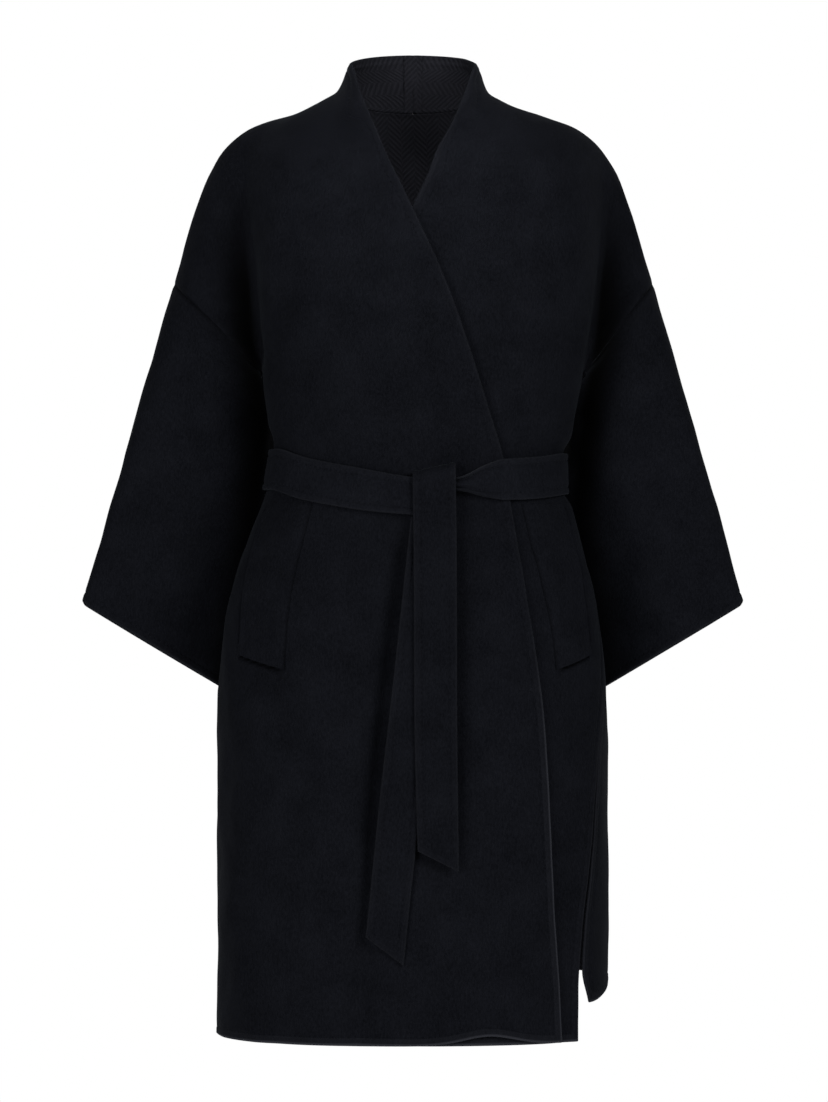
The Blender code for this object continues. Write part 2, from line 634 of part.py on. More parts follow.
def front_sheet(side):
    """One front with its half collar, its grid and the move that opens its seams."""
    low = front_low(side)
    foot, _, mouth = front_columns()
    top = np.concatenate([collar_side(side)[:-1], shoulder_row(side)])
    main = np.concatenate([low, upper_rows(side, low[-1], top, mouth, FRONT, mouth - POCKET_STEPS)])
    collar = collar_rows(side)
    shift = np.zeros_like(main)
    joined = len(FRONT_SLIT_LEVELS)
    shift[joined:, -1] += toward(main[joined:, -1], main[joined:, -2])
    shift[-1, foot:] += toward(main[-1, foot:], main[-2, foot:])
    collar_shift = np.zeros_like(collar)
    collar_shift[:, -1] += toward(collar[:, -1], collar[:, -2])
    collar_shift[-1] += toward(collar[-1], collar[-2])
    points = np.concatenate([main.reshape(-1, 3), collar.reshape(-1, 3)])
    numbers = np.arange(main.shape[0] * main.shape[1]).reshape(main.shape[:2])
    more = main.shape[0] * main.shape[1] + np.arange(collar.shape[0] * collar.shape[1])
    collar_numbers = np.concatenate([numbers[-1:, : foot + 1], more.reshape(collar.shape[:2])])
    faces = np.concatenate([grid_faces(numbers), grid_faces(collar_numbers)])
    moves = np.concatenate([shift.reshape(-1, 3), collar_shift.reshape(-1, 3)])
    name = "front_right" if side == RIGHT else "front_left"
    return sheet(name, points, faces, body_axis, moves), main, numbers


def back_sheet():
    """The back, its two halves joined at the centre, and the move that opens its seams."""
    right, left = back_half(RIGHT), back_half(LEFT)
    main = np.concatenate([right[:, ::-1], left[:, 1:]], axis=1)
    shift = np.zeros_like(main)
    joined = len(BACK_SLIT_LEVELS)
    shift[joined:, 0] += toward(main[joined:, 0], main[joined:, 1])
    shift[joined:, -1] += toward(main[joined:, -1], main[joined:, -2])
    shift[-1] += toward(main[-1], main[-2])
    numbers = np.arange(main.shape[0] * main.shape[1]).reshape(main.shape[:2])
    return sheet("back", main.reshape(-1, 3), grid_faces(numbers), body_axis, shift.reshape(-1, 3)), main


def sleeve_sheet(side, front_main, back_main):
    """A sleeve whose first ring is the armhole of the front and the back."""
    start = -(ARM_STEPS + 1)
    back_loop = back_main[start:, 0] if side == RIGHT else back_main[start:, -1]
    rings = sleeve_rings(side, front_main[start:, -1], back_loop)
    shift = np.zeros_like(rings)
    shift[0] = toward(rings[0], rings[1])
    around = rings.shape[1]
    numbers = np.arange(rings.shape[0] * around).reshape(rings.shape[:2])
    closed = np.concatenate([numbers, numbers[:, :1]], axis=1)
    centres = rings.mean(axis=1)

    def sleeve_axis(points):
        apart = np.linalg.norm(points[:, None] - centres[None], axis=2)
        return centres[apart.argmin(axis=1)]

    name = "sleeve_right" if side == RIGHT else "sleeve_left"
    return sheet(name, rings.reshape(-1, 3), grid_faces(closed), sleeve_axis, shift.reshape(-1, 3))


def welt_sheet(side, front, numbers):
    """A pocket welt made from the front's own points between its two pocket lines."""
    _, stitched, mouth = front_columns()
    levels = FRONT_SLIT_LEVELS + JOINED_LEVELS
    low, high = levels.index(POCKET_BOTTOM), levels.index(POCKET_TOP)
    block = numbers[low: high + 1, stitched: mouth + 1]
    points = front["points"][block.reshape(-1)]
    own = np.arange(block.size).reshape(block.shape)
    name = "pocket_welt_right" if side == RIGHT else "pocket_welt_left"
    return sheet(name, points, grid_faces(own), body_axis, np.zeros_like(points)), block.reshape(-1)


# Belt
def strip(middles, ups, outs, half_heights, walls):
    """Closed strip with a rounded rectangular section, swept along its middle points."""
    flat = 1 - BELT_ROUND
    section = ((-1, -flat), (-flat, -1), (flat, -1), (1, -flat), (1, flat), (flat, 1), (-flat, 1), (-1, flat))
    rows = []
    for middle, up, out, half, thick in zip(middles, ups, outs, half_heights, walls):
        edge = thick / 2
        row = []
        for u, v in section:
            height = np.sign(u) * (half - (1 - abs(u)) * edge)
            row.append(middle + up * height + out * v * edge)
        rows.append(row)
    points = np.array(rows)
    numbers = np.arange(points.shape[0] * len(section)).reshape(points.shape[:2])
    closed = np.concatenate([numbers, numbers[:, :1]], axis=1)
    faces = [tuple(f) for f in grid_faces(closed)]
    faces += [tuple(numbers[0][::-1]), tuple(numbers[-1])]
    return points.reshape(-1, 3), faces


def outward(angles, z):
    """Outward direction, level, of the body's section at angles of one height."""
    run = skin(angles + ANGLE_STEP, z, False) - skin(angles - ANGLE_STEP, z, False)
    out = np.stack([run[:, 1], -run[:, 0], np.zeros(len(angles))], axis=-1)
    return out / np.linalg.norm(out, axis=1, keepdims=True)


def belt_band():
    """The band round the waist, from the left end of the knot round the back to the right end."""
    places = split((0.0, KNOT_SHARE, KNOT_STEPS), (KNOT_SHARE, 1 - KNOT_SHARE, BELT_STEPS),
                   (1 - KNOT_SHARE, 1.0, KNOT_STEPS))
    values = {name: column(BELT, BELT_COLUMNS, name, places) for name in BELT_COLUMNS[1:]}
    z = values["z_mid"]
    start, end = angle_at_x(BELT_LEFT_END, z[0]), angle_at_x(BELT_RIGHT_END, z[-1]) + 2 * np.pi
    angles = start + (end - start) * places
    high = skin(angles, z + values["half_height"], False)
    low = skin(angles, z - values["half_height"], False)
    ups = (high - low) / np.linalg.norm(high - low, axis=1, keepdims=True)
    out = outward(angles, z)
    out = out - ups * (out * ups).sum(axis=1, keepdims=True)
    out /= np.linalg.norm(out, axis=1, keepdims=True)
    middles = (high + low) / 2 + out * (CLOTH / 2 + values["lift"] + values["wall"] / 2)[:, None]
    return strip(middles, ups, out, values["half_height"], values["wall"])


def tail(table, heights, stand_offs, slant):
    """A hanging length of belt over the right front, along given heights and distances off the coat."""
    x = column(table, TAIL_COLUMNS, "x_mid", heights)
    middles = skin(angle_at_x(x, heights), heights, False)
    middles[:, 1] -= CLOTH / 2 + stand_offs
    half = column(table, TAIL_COLUMNS, "half_width", heights)
    nearness = np.linspace(0.0, 1.0, len(heights)) ** END_POWER
    across = np.stack([np.ones(len(x)), np.zeros(len(x)), -slant * nearness / (2 * half)], axis=-1)
    along = np.gradient(middles, axis=0)
    out = np.cross(along, across)
    out /= np.linalg.norm(out, axis=1, keepdims=True)
    return strip(middles, across, out, half, np.full(len(heights), BELT_CLOTH))


def over_tail():
    """The tail that comes up behind the band, turns over it and hangs in front."""
    hang = np.linspace(HOOK_LEVEL, OVER_TAIL[-1][0], TAIL_STEPS + 1)
    front = column(OVER_TAIL, TAIL_COLUMNS, "stand_off", hang)
    turn = np.linspace(0.0, np.pi, HOOK_STEPS + 1)[:-1]
    radius = (front[0] - HOOK_BACK) / 2
    heights = np.concatenate([[HOOK_LOW], HOOK_LEVEL + radius * np.sin(turn), hang])
    stand_offs = np.concatenate([[HOOK_BACK], HOOK_BACK + radius * (1 - np.cos(turn)), front])
    return tail(OVER_TAIL, heights, stand_offs, OVER_TAIL_SLANT)


def under_tail():
    """The tail that comes out below the knot, behind the over tail."""
    heights = np.linspace(UNDER_TAIL[0][0], UNDER_TAIL[-1][0], TAIL_STEPS + 1)
    stand_offs = column(UNDER_TAIL, TAIL_COLUMNS, "stand_off", heights)
    return tail(UNDER_TAIL, heights, stand_offs, UNDER_TAIL_SLANT)


def build():
    """Makes every piece of the coat."""
    for old in list(bpy.data.objects):
        bpy.data.objects.remove(old)
    over, over_main, over_numbers = front_sheet(RIGHT)
    under, under_main, under_numbers = front_sheet(LEFT)
    back, back_main = back_sheet()
    sleeves = [sleeve_sheet(RIGHT, over_main, back_main), sleeve_sheet(LEFT, under_main, back_main)]
    body_sheets = [over, under, back] + sleeves
    normals = shared_normals(body_sheets)
    size = under_main.shape[0] * under_main.shape[1]
    inward = -normals[1][:size].reshape(under_main.shape)
    tucked = tuck(under_main, inward)
    under["points"] = np.concatenate([tucked.reshape(-1, 3), under["points"][size:]])
    for one, normal in zip(body_sheets, normals):
        add_piece(one["name"], *wall(one, normal, CLOTH))
    for side, front, numbers, normal in ((RIGHT, over, over_numbers, normals[0]),
                                         (LEFT, under, under_numbers, normals[1])):
        welt, picked = welt_sheet(side, front, numbers)
        add_piece(welt["name"], *wall(welt, normal[picked], CLOTH, CLOTH + SEAM))
    add_piece("belt_band", *belt_band())
    add_piece("belt_tail_over", *over_tail())
    add_piece("belt_tail_under", *under_tail())


build()
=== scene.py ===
from functools import lru_cache

import bpy
import numpy as np
from bpy.props import FloatProperty, FloatVectorProperty, PointerProperty
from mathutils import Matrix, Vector


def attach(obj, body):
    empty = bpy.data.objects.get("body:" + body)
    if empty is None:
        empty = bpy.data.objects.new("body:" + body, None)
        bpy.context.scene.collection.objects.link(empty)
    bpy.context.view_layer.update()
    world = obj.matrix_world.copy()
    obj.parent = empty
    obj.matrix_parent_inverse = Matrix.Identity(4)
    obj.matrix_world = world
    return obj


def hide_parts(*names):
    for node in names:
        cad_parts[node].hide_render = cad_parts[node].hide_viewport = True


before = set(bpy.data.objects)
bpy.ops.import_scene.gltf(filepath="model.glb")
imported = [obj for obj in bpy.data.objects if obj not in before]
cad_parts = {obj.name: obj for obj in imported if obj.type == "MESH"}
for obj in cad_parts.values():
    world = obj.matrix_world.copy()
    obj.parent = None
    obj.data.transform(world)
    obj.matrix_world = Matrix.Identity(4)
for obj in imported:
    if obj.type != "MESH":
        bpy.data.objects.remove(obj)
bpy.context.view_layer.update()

bl_info = {
    "name": "Wool wrap coat",
    "version": (1, 0, 0),
    "blender": (4, 5, 0),
    "location": "View3D > Sidebar > Coat",
    "description": "Dresses the packed wrap coat with cloth shells, their finish and a plain studio",
    "category": "Object",
}

# Sides and faces of the coat, as signs of X and Y
RIGHT, LEFT = -1, 1
FRONT, BACK = -1, 1
SIDE_NAME = {RIGHT: "right", LEFT: "left"}

# Sizes of the coat
SEAM = 0.00006            # gap between pieces that are sewn together, so narrow that no light shows
LAP = 0.0080              # how far the left front lies inside the right front
LAP_START, LAP_FADE = -0.020, 0.080         # the lap starts below this height and comes in over the next
LAP_SIDE = 0.8            # share of a front's width, from its side seam, over which the lap comes in
UNDERARM = -0.275
SLIT_TOP = -0.585
HEM_FRONT, HEM_BACK = -0.931, -0.876
HEM_BACK_DIP, HEM_BACK_POWER = 0.018, 3
HEM_BACK_LEVEL = {RIGHT: 0.6, LEFT: 5.0}    # the larger, the nearer to the side the back hem's dip starts
HEM_WAVE, HEM_WAVE_X, HEM_WAVE_HALF = 0.009, 0.075, 0.050
HEM_WAVE_REACH = 0.120    # the wave in the hem fades out over this height
POCKET_TOP, POCKET_BOTTOM, POCKET_TILT = -0.404, -0.560, 0.014
SQUARE = 2.4              # power of the rounded-square body section

# Body sections, half widths to the wearer's right and left and depths to the front and back
BODY_COLUMNS = ("height", "right", "left", "front", "back")
BODY = (
    (0.040, 0.168, 0.191, 0.042, 0.056),
    (0.000, 0.168, 0.191, 0.055, 0.062),
    (-0.060, 0.168, 0.191, 0.078, 0.080),
    (-0.140, 0.160, 0.189, 0.100, 0.094),
    (-0.220, 0.152, 0.180, 0.112, 0.097),
    (-0.287, 0.148, 0.167, 0.110, 0.094),
    (-0.347, 0.1425, 0.156, 0.100, 0.086),
    (-0.372, 0.1430, 0.154, 0.097, 0.083),
    (-0.396, 0.1470, 0.156, 0.098, 0.085),
    (-0.430, 0.160, 0.164, 0.106, 0.094),
    (-0.480, 0.178, 0.177, 0.117, 0.106),
    (-0.520, 0.187, 0.184, 0.122, 0.112),
    (-0.570, 0.192, 0.190, 0.127, 0.117),
    (-0.640, 0.194, 0.194, 0.130, 0.121),
    (-0.950, 0.194, 0.194, 0.133, 0.124),
)

# Front edge, its distance past the centre by height
EDGE_COLUMNS = ("height", "past_centre")
EDGE = (
    (0.036, -0.062),
    (0.004, -0.052),
    (-0.034, -0.037),
    (-0.065, -0.024),
    (-0.115, -0.001),
    (-0.172, 0.025),
    (-0.210, 0.040),
    (-0.320, 0.076),
    (-0.359, 0.0875),
    (-0.402, 0.0945),
    (-0.502, 0.111),
    (-0.575, 0.1225),
    (-0.650, 0.130),
    (-0.735, 0.134),
    (-0.950, 0.146),
)

# Outline seen from the front, from the top of the collar to the end of the dropped shoulder
OUTLINE_COLUMNS = ("half_width", "height", "depth")
OUTLINE = (
    (0.0620, 0.036, 0.004),
    (0.0665, 0.028, 0.006),
    (0.0700, 0.018, 0.008),
    (0.0750, 0.008, 0.010),
    (0.0840, 0.002, 0.011),
    (0.1085, -0.010, 0.012),
    (0.1465, -0.022, 0.013),
    (0.1660, -0.030, 0.014),
    (0.1850, -0.045, 0.015),
    (0.1965, -0.060, 0.016),
    (0.2058, -0.075, 0.018),
    (0.2170, -0.105, 0.021),
    (0.2312, -0.150, 0.025),
    (0.2402, -0.183, 0.028),
)
COLLAR_HALF, SHOULDER_END = OUTLINE[0][0], OUTLINE[-1][0]      # half widths at its two ends
OUTLINE_STEPS = 900
NECK_HALF = 0.084
RIDGE_TOP = {RIGHT: 0.168, LEFT: 0.191}
TRUNK_REACH = 0.075
ARM_HALF = 0.064
ARM_DEPTH = {FRONT: 0.032, BACK: 0.040}
VALLEY = 0.008            # softness of the fold between body and arm
VALLEY_SHARE = 0.12       # it comes in over this share of the armhole above the underarm
COLLAR_BACK_TOP = (0.058, 0.050)
NECK_BACK_DROP = 0.010

# Side seam and slit, the depth of each cut edge by height
SLIT_COLUMNS = ("height", "right_front", "right_back", "left_front", "left_back")
SLIT = (
    (-0.275, 0.000, 0.000, 0.0000, 0.0000),
    (-0.500, 0.003, 0.003, -0.0120, -0.0120),
    (-0.585, 0.004, 0.004, -0.0400, -0.0400),
    (-0.650, 0.004, 0.006, -0.0580, -0.0550),
    (-0.780, 0.004, 0.010, -0.0760, -0.0725),
    (-0.850, 0.004, 0.012, -0.0850, -0.0812),
    (-0.880, 0.004, 0.013, -0.0868, -0.0730),
    (-0.950, 0.004, 0.014, -0.0870, -0.0660),
)

# Pocket lines, as shares of the half width, at the top and bottom of the welt
POCKET_COLUMNS = ("stitched_top", "stitched_bottom", "mouth_top", "mouth_bottom")
POCKET = {RIGHT: (0.65, 0.65, 0.953, 0.885), LEFT: (0.69, 0.75, 0.953, 0.925)}
# The ridge over each arm leaves the underarm at the share where the pocket's mouth starts further down
RIDGE_LOW = {side: row[POCKET_COLUMNS.index("mouth_top")] for side, row in POCKET.items()}

# Pocket welts
WELT_TAPER, WELT_FULL = 0.12, 0.80          # share of the cloth's wall at the stitched line, and elsewhere
WELT_TAPER_WIDTH, WELT_TAPER_TOP = 0.014, 0.020     # it grows over this width, and this far down from the top
WELT_LIFT, WELT_LIFT_HEIGHT = 0.0014, 0.016         # how far the bottom stands off, and over which height
WELT_LIFT_LEAST = 0.5                       # share of that lift which is left at the stitched line
WELT_SHADE, WELT_SHADE_HALF = 0.45, 0.0028          # painted shade along the stitched line, and its half width

# Largest folds, as in the imported part: troughs (depth in) and ridges (depth out, negative)
FOLD_COLUMNS = ("facing", "x_top", "z_top", "x_low", "z_low", "half_width", "depth")
FOLDS = (
    (FRONT, 0.014, -0.400, -0.010, -0.800, 0.075, 0.013),
    (FRONT, -0.085, -0.430, -0.092, -0.700, 0.030, -0.004),
    (FRONT, 0.085, -0.420, 0.100, -0.680, 0.028, -0.003),
    (FRONT, -0.060, -0.200, -0.040, -0.345, 0.045, -0.004),
    (BACK, -0.055, -0.400, -0.070, -0.780, 0.034, 0.010),
    (BACK, 0.040, -0.400, 0.062, -0.740, 0.032, 0.009),
    (BACK, -0.030, -0.160, -0.045, -0.345, 0.040, 0.006),
    (BACK, 0.065, -0.190, 0.050, -0.345, 0.036, 0.006),
)
FOLD_FADE = 0.060

# Finer creases of the worn cloth, in the same columns
CREASES = (
    (FRONT, -0.030, -0.268, -0.004, -0.352, 0.013, 0.0022),
    (FRONT, -0.068, -0.300, -0.046, -0.354, 0.009, 0.0016),
    (FRONT, 0.030, -0.292, 0.016, -0.356, 0.010, 0.0020),
    (FRONT, -0.108, -0.240, -0.098, -0.352, 0.012, 0.0015),
    (FRONT, 0.108, -0.262, 0.112, -0.350, 0.011, 0.0017),
    (FRONT, -0.034, -0.418, -0.046, -0.560, 0.010, 0.0026),
    (FRONT, -0.006, -0.400, -0.054, -0.890, 0.018, 0.0100),
    (FRONT, 0.060, -0.412, 0.064, -0.520, 0.008, 0.0020),
    (FRONT, -0.122, -0.418, -0.130, -0.500, 0.010, 0.0014),
    (FRONT, -0.120, -0.640, -0.128, -0.925, 0.024, 0.0024),
    (FRONT, -0.052, -0.700, -0.058, -0.930, 0.022, -0.0018),
    (FRONT, 0.074, -0.660, 0.080, -0.925, 0.022, 0.0024),
    (FRONT, -0.150, -0.100, -0.128, -0.235, 0.014, -0.0016),
    (FRONT, 0.128, -0.080, 0.146, -0.230, 0.015, -0.0014),
    (BACK, -0.100, -0.250, -0.094, -0.350, 0.011, 0.0020),
    (BACK, 0.012, -0.262, 0.008, -0.352, 0.012, 0.0024),
    (BACK, 0.112, -0.240, 0.104, -0.350, 0.012, 0.0018),
    (BACK, -0.008, -0.412, -0.004, -0.600, 0.013, 0.0026),
    (BACK, -0.112, -0.414, -0.122, -0.560, 0.012, 0.0022),
    (BACK, 0.110, -0.416, 0.118, -0.640, 0.014, 0.0024),
    (BACK, -0.080, -0.620, -0.092, -0.870, 0.026, -0.0024),
    (BACK, 0.030, -0.640, 0.038, -0.872, 0.024, 0.0028),
    (BACK, -0.130, -0.060, -0.118, -0.200, 0.018, 0.0018),
    (BACK, 0.120, -0.070, 0.112, -0.220, 0.016, 0.0020),
    (BACK, 0.000, -0.050, -0.006, -0.150, 0.020, 0.0014),
)

# Deep folds between body and arms: the line of each by height, its reach towards the arm, and the strength of
# its painted shade, which also scales how far it sinks
ARM_FOLD_COLUMNS = ("height", "right", "left", "reach", "shade")
ARM_FOLD = (
    (-0.080, 0.176, 0.202, 0.026, 0.00),
    (-0.140, 0.173, 0.200, 0.032, 0.55),
    (-0.200, 0.167, 0.193, 0.034, 0.95),
    (-0.330, 0.152, 0.173, 0.032, 1.00),
    (-0.420, 0.161, 0.166, 0.030, 0.95),
    (-0.540, 0.180, 0.186, 0.027, 0.85),
    (-0.640, 0.203, 0.206, 0.024, 0.50),
)
ARM_FOLD_BODY = 0.012           # its reach towards the body
ARM_FOLD_DEPTH = 0.016          # how far it sinks in the fronts
ARM_FOLD_SEAM = 0.024           # and over which distance from the armhole that depth comes in
FACING_FRONT = 0.3              # the fold holds cloth that leans to the back by less than this
SEAM_SHADE, SEAM_SHADE_HALF = 0.55, 0.0022  # painted shade and half width of a sewn line
CREASE_RISE, CREASE_FALL = 0.30, 0.45       # shares of a crease's length over which it comes and goes
HEM_CREASE = 0.020              # a crease that ends lower than this above the back hem runs out over the hem

# Soft unevenness of hung cloth: waves along X and Z, their turn and height
WAVE_SWAY = 2               # how far a wave sways on its way up, as an angle
WAVE_COLUMNS = ("across", "up", "turn", "height")
WAVES = (
    (0.110, 0.290, 0.4, 0.00055),
    (0.067, 0.170, 2.1, 0.00035),
    (0.043, 0.095, 4.4, 0.00022),
)
POCKET_GROOVE = 0.0026          # depth of the groove beside a pocket's mouth and below its welt
GROOVE_OFF, GROOVE_HALF = 0.0018, 0.0024    # distance of the groove below a welt from it, and its half width
MOUTH_OFF, MOUTH_HALF = 0.0026, 0.0036      # the same of the groove beside the mouth
GROOVE_FADE = 0.012             # it comes and goes over this length

# Cut edges, and the painted highlight along them
HIGHLIGHT_HEIGHTS = (-0.50, -0.70)    # their painted highlight is weak above the first height and full below the second
HIGHLIGHT_LEAST, SLIT_HIGHLIGHT = 0.12, 0.25            # share of the painted highlight on weak edges, and on the slits
RIM_CROWN = 0.42                # how far an edge is rounded out, as a share of its wall
BAND_HIGHLIGHT, BAND_HIGHLIGHT_REACH = 0.10, 0.9          # share of the painted highlight on a turned-in edge, over this share of its width
BAND_FULL = 0.5                 # how far the turned-in edge stands out, as a share of the stitch depth
BAND_FROM, BAND_FADE = 0.55, 0.40           # where it starts to fall and over which share of its width
LINE_HALF = 0.28                # half width of the sunk stitch line, as a share of the turned-in edge
SEAM_SPREAD = 4                 # half width of a seam's groove, in groove depths
FAR = 1.0                       # stands for no edge near

# The cloth under the belt
UNDER_BELT = (-0.345, -0.424)   # between these heights the belt presses the creases flat
BELT_PRESS = 0.028              # and lets them go over this height
DRAWN_IN = {RIGHT: (0.0045, -0.360), LEFT: (0.0065, -0.372)}    # depth and height of the drawn-in waist
DRAWN_REACH, DRAWN_FADE = 0.036, 0.016      # half the height of that waist, and the part of it that fades

# Sleeve sections from the armhole to the cuff. The inner edge lies beside and behind the body.
SLEEVE_COLUMNS = ("along", "outer_x", "outer_y", "outer_z", "inner_angle", "inner_clear", "inner_z",
                  "swell_front", "swell_back")
SLEEVE = (
    (0.00, 0.2402, 0.028, -0.183, 92, 0.0050, -0.275, 0.032, 0.040),
    (0.05, 0.2448, 0.028, -0.199, 109, 0.0066, -0.291, 0.032, 0.039),
    (0.12, 0.2512, 0.028, -0.221, 115, 0.0140, -0.314, 0.033, 0.038),
    (0.25, 0.2632, 0.028, -0.263, 121, 0.0185, -0.350, 0.034, 0.036),
    (0.50, 0.2862, 0.029, -0.344, 124, 0.0170, -0.425, 0.032, 0.032),
    (0.75, 0.3090, 0.030, -0.424, 128, 0.0180, -0.515, 0.030, 0.030),
    (1.00, 0.3316, 0.030, -0.504, 127, 0.0270, -0.600, 0.027, 0.028),
)
UNDERARM_EASE, UNDERARM_SHARE = 0.0002, 0.10        # gap at the underarm, and share of the armhole with it
CUFF_ROUND, CUFF_CORNER = 0.0055, 0.014     # depth and width of the cuff's rounded outer corner
CUFF_FADE = 0.06          # share of the sleeve above the cuff that follows
ARMHOLE_BLEND = 0.12      # share of the sleeve over which the armhole turns into the sleeve's own section

# Sleeve creases: places along the sleeve and round it (0 underarm, 0.25 front, 0.5 outside, 0.75 back)
SLEEVE_CREASE_COLUMNS = ("along_top", "round_top", "along_low", "round_low", "half_width", "depth")
SLEEVE_CREASES = (
    (0.04, 0.06, 0.34, 0.24, 0.013, 0.0034),
    (0.16, 0.03, 0.52, 0.20, 0.012, 0.0028),
    (0.02, 0.16, 0.22, 0.33, 0.014, 0.0020),
    (0.40, 0.05, 0.66, 0.30, 0.015, 0.0018),
    (0.10, 0.92, 0.42, 0.74, 0.014, 0.0032),
    (0.30, 0.95, 0.62, 0.70, 0.014, 0.0024),
    (0.55, 0.30, 0.96, 0.38, 0.020, -0.0014),
    (0.60, 0.64, 0.97, 0.60, 0.020, -0.0016),
)
SLEEVE_LENGTH, SLEEVE_GIRTH = 0.360, 0.290  # sizes on which those creases are laid out

# Belt band by its way round from the left end of the knot, with its lift off the coat
BELT_COLUMNS = ("place", "z_mid", "half_height", "wall", "lift")
BELT_LEFT_END, BELT_RIGHT_END = 0.028, 0.006
BELT = (
    (0.00, -0.3875, 0.0050, 0.0062, 0.0064),
    (0.018, -0.3860, 0.0072, 0.0060, 0.0062),
    (0.043, -0.3832, 0.0156, 0.0050, 0.0046),
    (0.067, -0.3812, 0.0202, 0.0042, 0.0024),
    (0.10, -0.3800, 0.0206, 0.0040, 0.0012),
    (0.20, -0.3745, 0.0206, 0.0040, 0.0008),
    (0.50, -0.3720, 0.0206, 0.0040, 0.0006),
    (0.80, -0.3705, 0.0206, 0.0040, 0.0008),
    (0.88, -0.3810, 0.0206, 0.0040, 0.0010),
    (0.94, -0.3895, 0.0206, 0.0040, 0.0026),
    (1.00, -0.3990, 0.0186, 0.0040, 0.0064),
)
BELT_HALF = 0.0206        # half width of the belt laid flat
BELT_WALL = 0.0040        # the belt is two layers
BELT_HIGHLIGHT, KNOT_HIGHLIGHT = 0.25, 2.5      # how much painted highlight shows along the belt's edges, and on its upper edge at the knot
KNOT_HIGHLIGHT_FROM = 0.80          # that painted highlight at the knot starts at this share of the belt's half width
BUNCH = 0.0042            # height of the belt's pleats where it is drawn into the knot
END_LEAST = 0.0004        # keeps a little of the wall at a strip's rounded end

# Columns of a belt strip, by their distance in from its edge, close together at the edge and the stitch line
STRIP_INSETS = (0.0, 0.0003, 0.0009, 0.0018, 0.0032, 0.0048, 0.0060, 0.0068, 0.0076, 0.0088, 0.0108, 0.0140,
                0.0174, BELT_HALF)

# Pleats of the belt at the knot, by their place between its lower (-1) and upper (1) edge
PLEAT_COLUMNS = ("across", "height")
PLEATS = (
    (-1.00, 0.30),
    (-0.84, 0.80),
    (-0.58, -0.60),
    (-0.20, 0.55),
    (0.20, 0.45),
    (0.58, -1.00),
    (0.86, 1.00),
    (1.00, 0.60),
)

# Belt tails by height, seen from the front, and how far their middle stands off the coat
TAIL_COLUMNS = ("height", "x_mid", "half_width", "stand_off")
OVER_TAIL = (
    (-0.360, 0.0205, 0.0210, 0.0156),
    (-0.404, 0.0210, 0.0210, 0.0154),
    (-0.440, 0.0215, 0.0210, 0.0115),
    (-0.490, 0.0217, 0.0209, 0.0078),
    (-0.600, 0.0220, 0.0208, 0.0076),
    (-0.752, 0.0245, 0.0200, 0.0072),
)
UNDER_TAIL = (
    (-0.418, 0.0180, 0.0200, 0.0070),
    (-0.440, 0.0156, 0.0200, 0.0050),
    (-0.490, 0.0103, 0.0201, 0.0028),
    (-0.550, 0.0040, 0.0202, 0.0028),
    (-0.700, -0.0130, 0.0200, 0.0028),
    (-0.8395, -0.0275, 0.0185, 0.0028),
)
OVER_TAIL_SLANT, UNDER_TAIL_SLANT = 0.020, 0.028
END_POWER = 6             # power of the length with which the slant of a tail's end comes in
# The over tail's fold: its height, that of its hidden end, and that end's distance from the coat
HOOK_LEVEL, HOOK_LOW, HOOK_BACK = -0.377, -0.402, 0.0026
HOOK_TILT, HOOK_FADE = 0.009, 0.030         # slant of that fold, and the height over which it fades out

# Places across a front: front edge, line to the collar's foot, stitched pocket line, mouth, side seam
FRONT_STOPS = (0.0, 4.0, 9.0, 12.0, 16.0)
# Places across half the back: centre, line to the collar's foot, shoulder middle, ridge, side seam
BACK_STOPS = (0.0, 5.0, 10.0, 13.0, 17.0)
FOOT_SHARE = 0.40         # the collar's foot on a front, as a share of the way to the pocket's stitched line
NECK_SHARE = 0.40         # and on the back, as a share of the half width

# Mesh counts, and the power that brings rows and columns closer together at cut edges
EDGE_STEPS, CHEST_STEPS, POCKET_STEPS, MOUTH_STEPS, SIDE_STEPS = 26, 26, 20, 7, 20
MOUTH_FINE = 0.7          # places past the pocket mouth in which the columns stay close together
NECK_STEPS, BACK_STEPS = 30, 34
FRONT_SLIT_STEPS, BACK_SLIT_STEPS, JOINED_STEPS, ARM_STEPS = 84, 70, 124, 56
SLEEVE_STEPS, COLLAR_STEPS = 96, NECK_STEPS
EDGE_POWER, HEM_POWER, SIDE_POWER = 1.7, 1.35, 1.5
BELT_STEPS, TAIL_STEPS, HOOK_STEPS = 330, 150, 12
WELT_STEPS, WELT_ROWS = 26, 60
SETTLE_PASSES, SLEEVE_PASSES = 6, 3         # rounds of smoothing of the body's grids and of a sleeve's
WRAP = 8                  # columns by which a sleeve's grid laps itself while it is smoothed
ANGLE_STEP, AXIS_STEP = 1e-4, 0.05
WELD = 1e-6               # points closer than this are one point

# Felled seam inside the collar
FELL_STEPS, FELL_ROWS = 24, 40
FELL_TOP, FELL_FOOT = 0.004, 0.985          # its ends, as shares of the collar's height
FELL_WALL = 0.0014
FELL_RIDGE, FELL_HEIGHT = 0.0024, 0.0004    # width and height of the sewn ridges along its sides

# Cut of each sheet: width, length and area where the cut isn't a rectangle
CUT = {
    "front_right": (0.42, 1.05, 0.320),
    "front_left": (0.42, 1.05, 0.290),
    "back": (0.62, 0.93, 0.440),
    "sleeve_right": (0.34, 0.42, 0.116),
    "sleeve_left": (0.34, 0.42, 0.112),
    "pocket_welt_right": (0.052, 0.158, None),
    "pocket_welt_left": (0.040, 0.158, None),
    "belt_band": (0.0412, 0.900, None),
    "belt_tail_over": (0.0420, 0.432, None),
    "belt_tail_under": (0.0400, 0.424, None),
    "collar_seam": (0.018, 0.046, None),
}

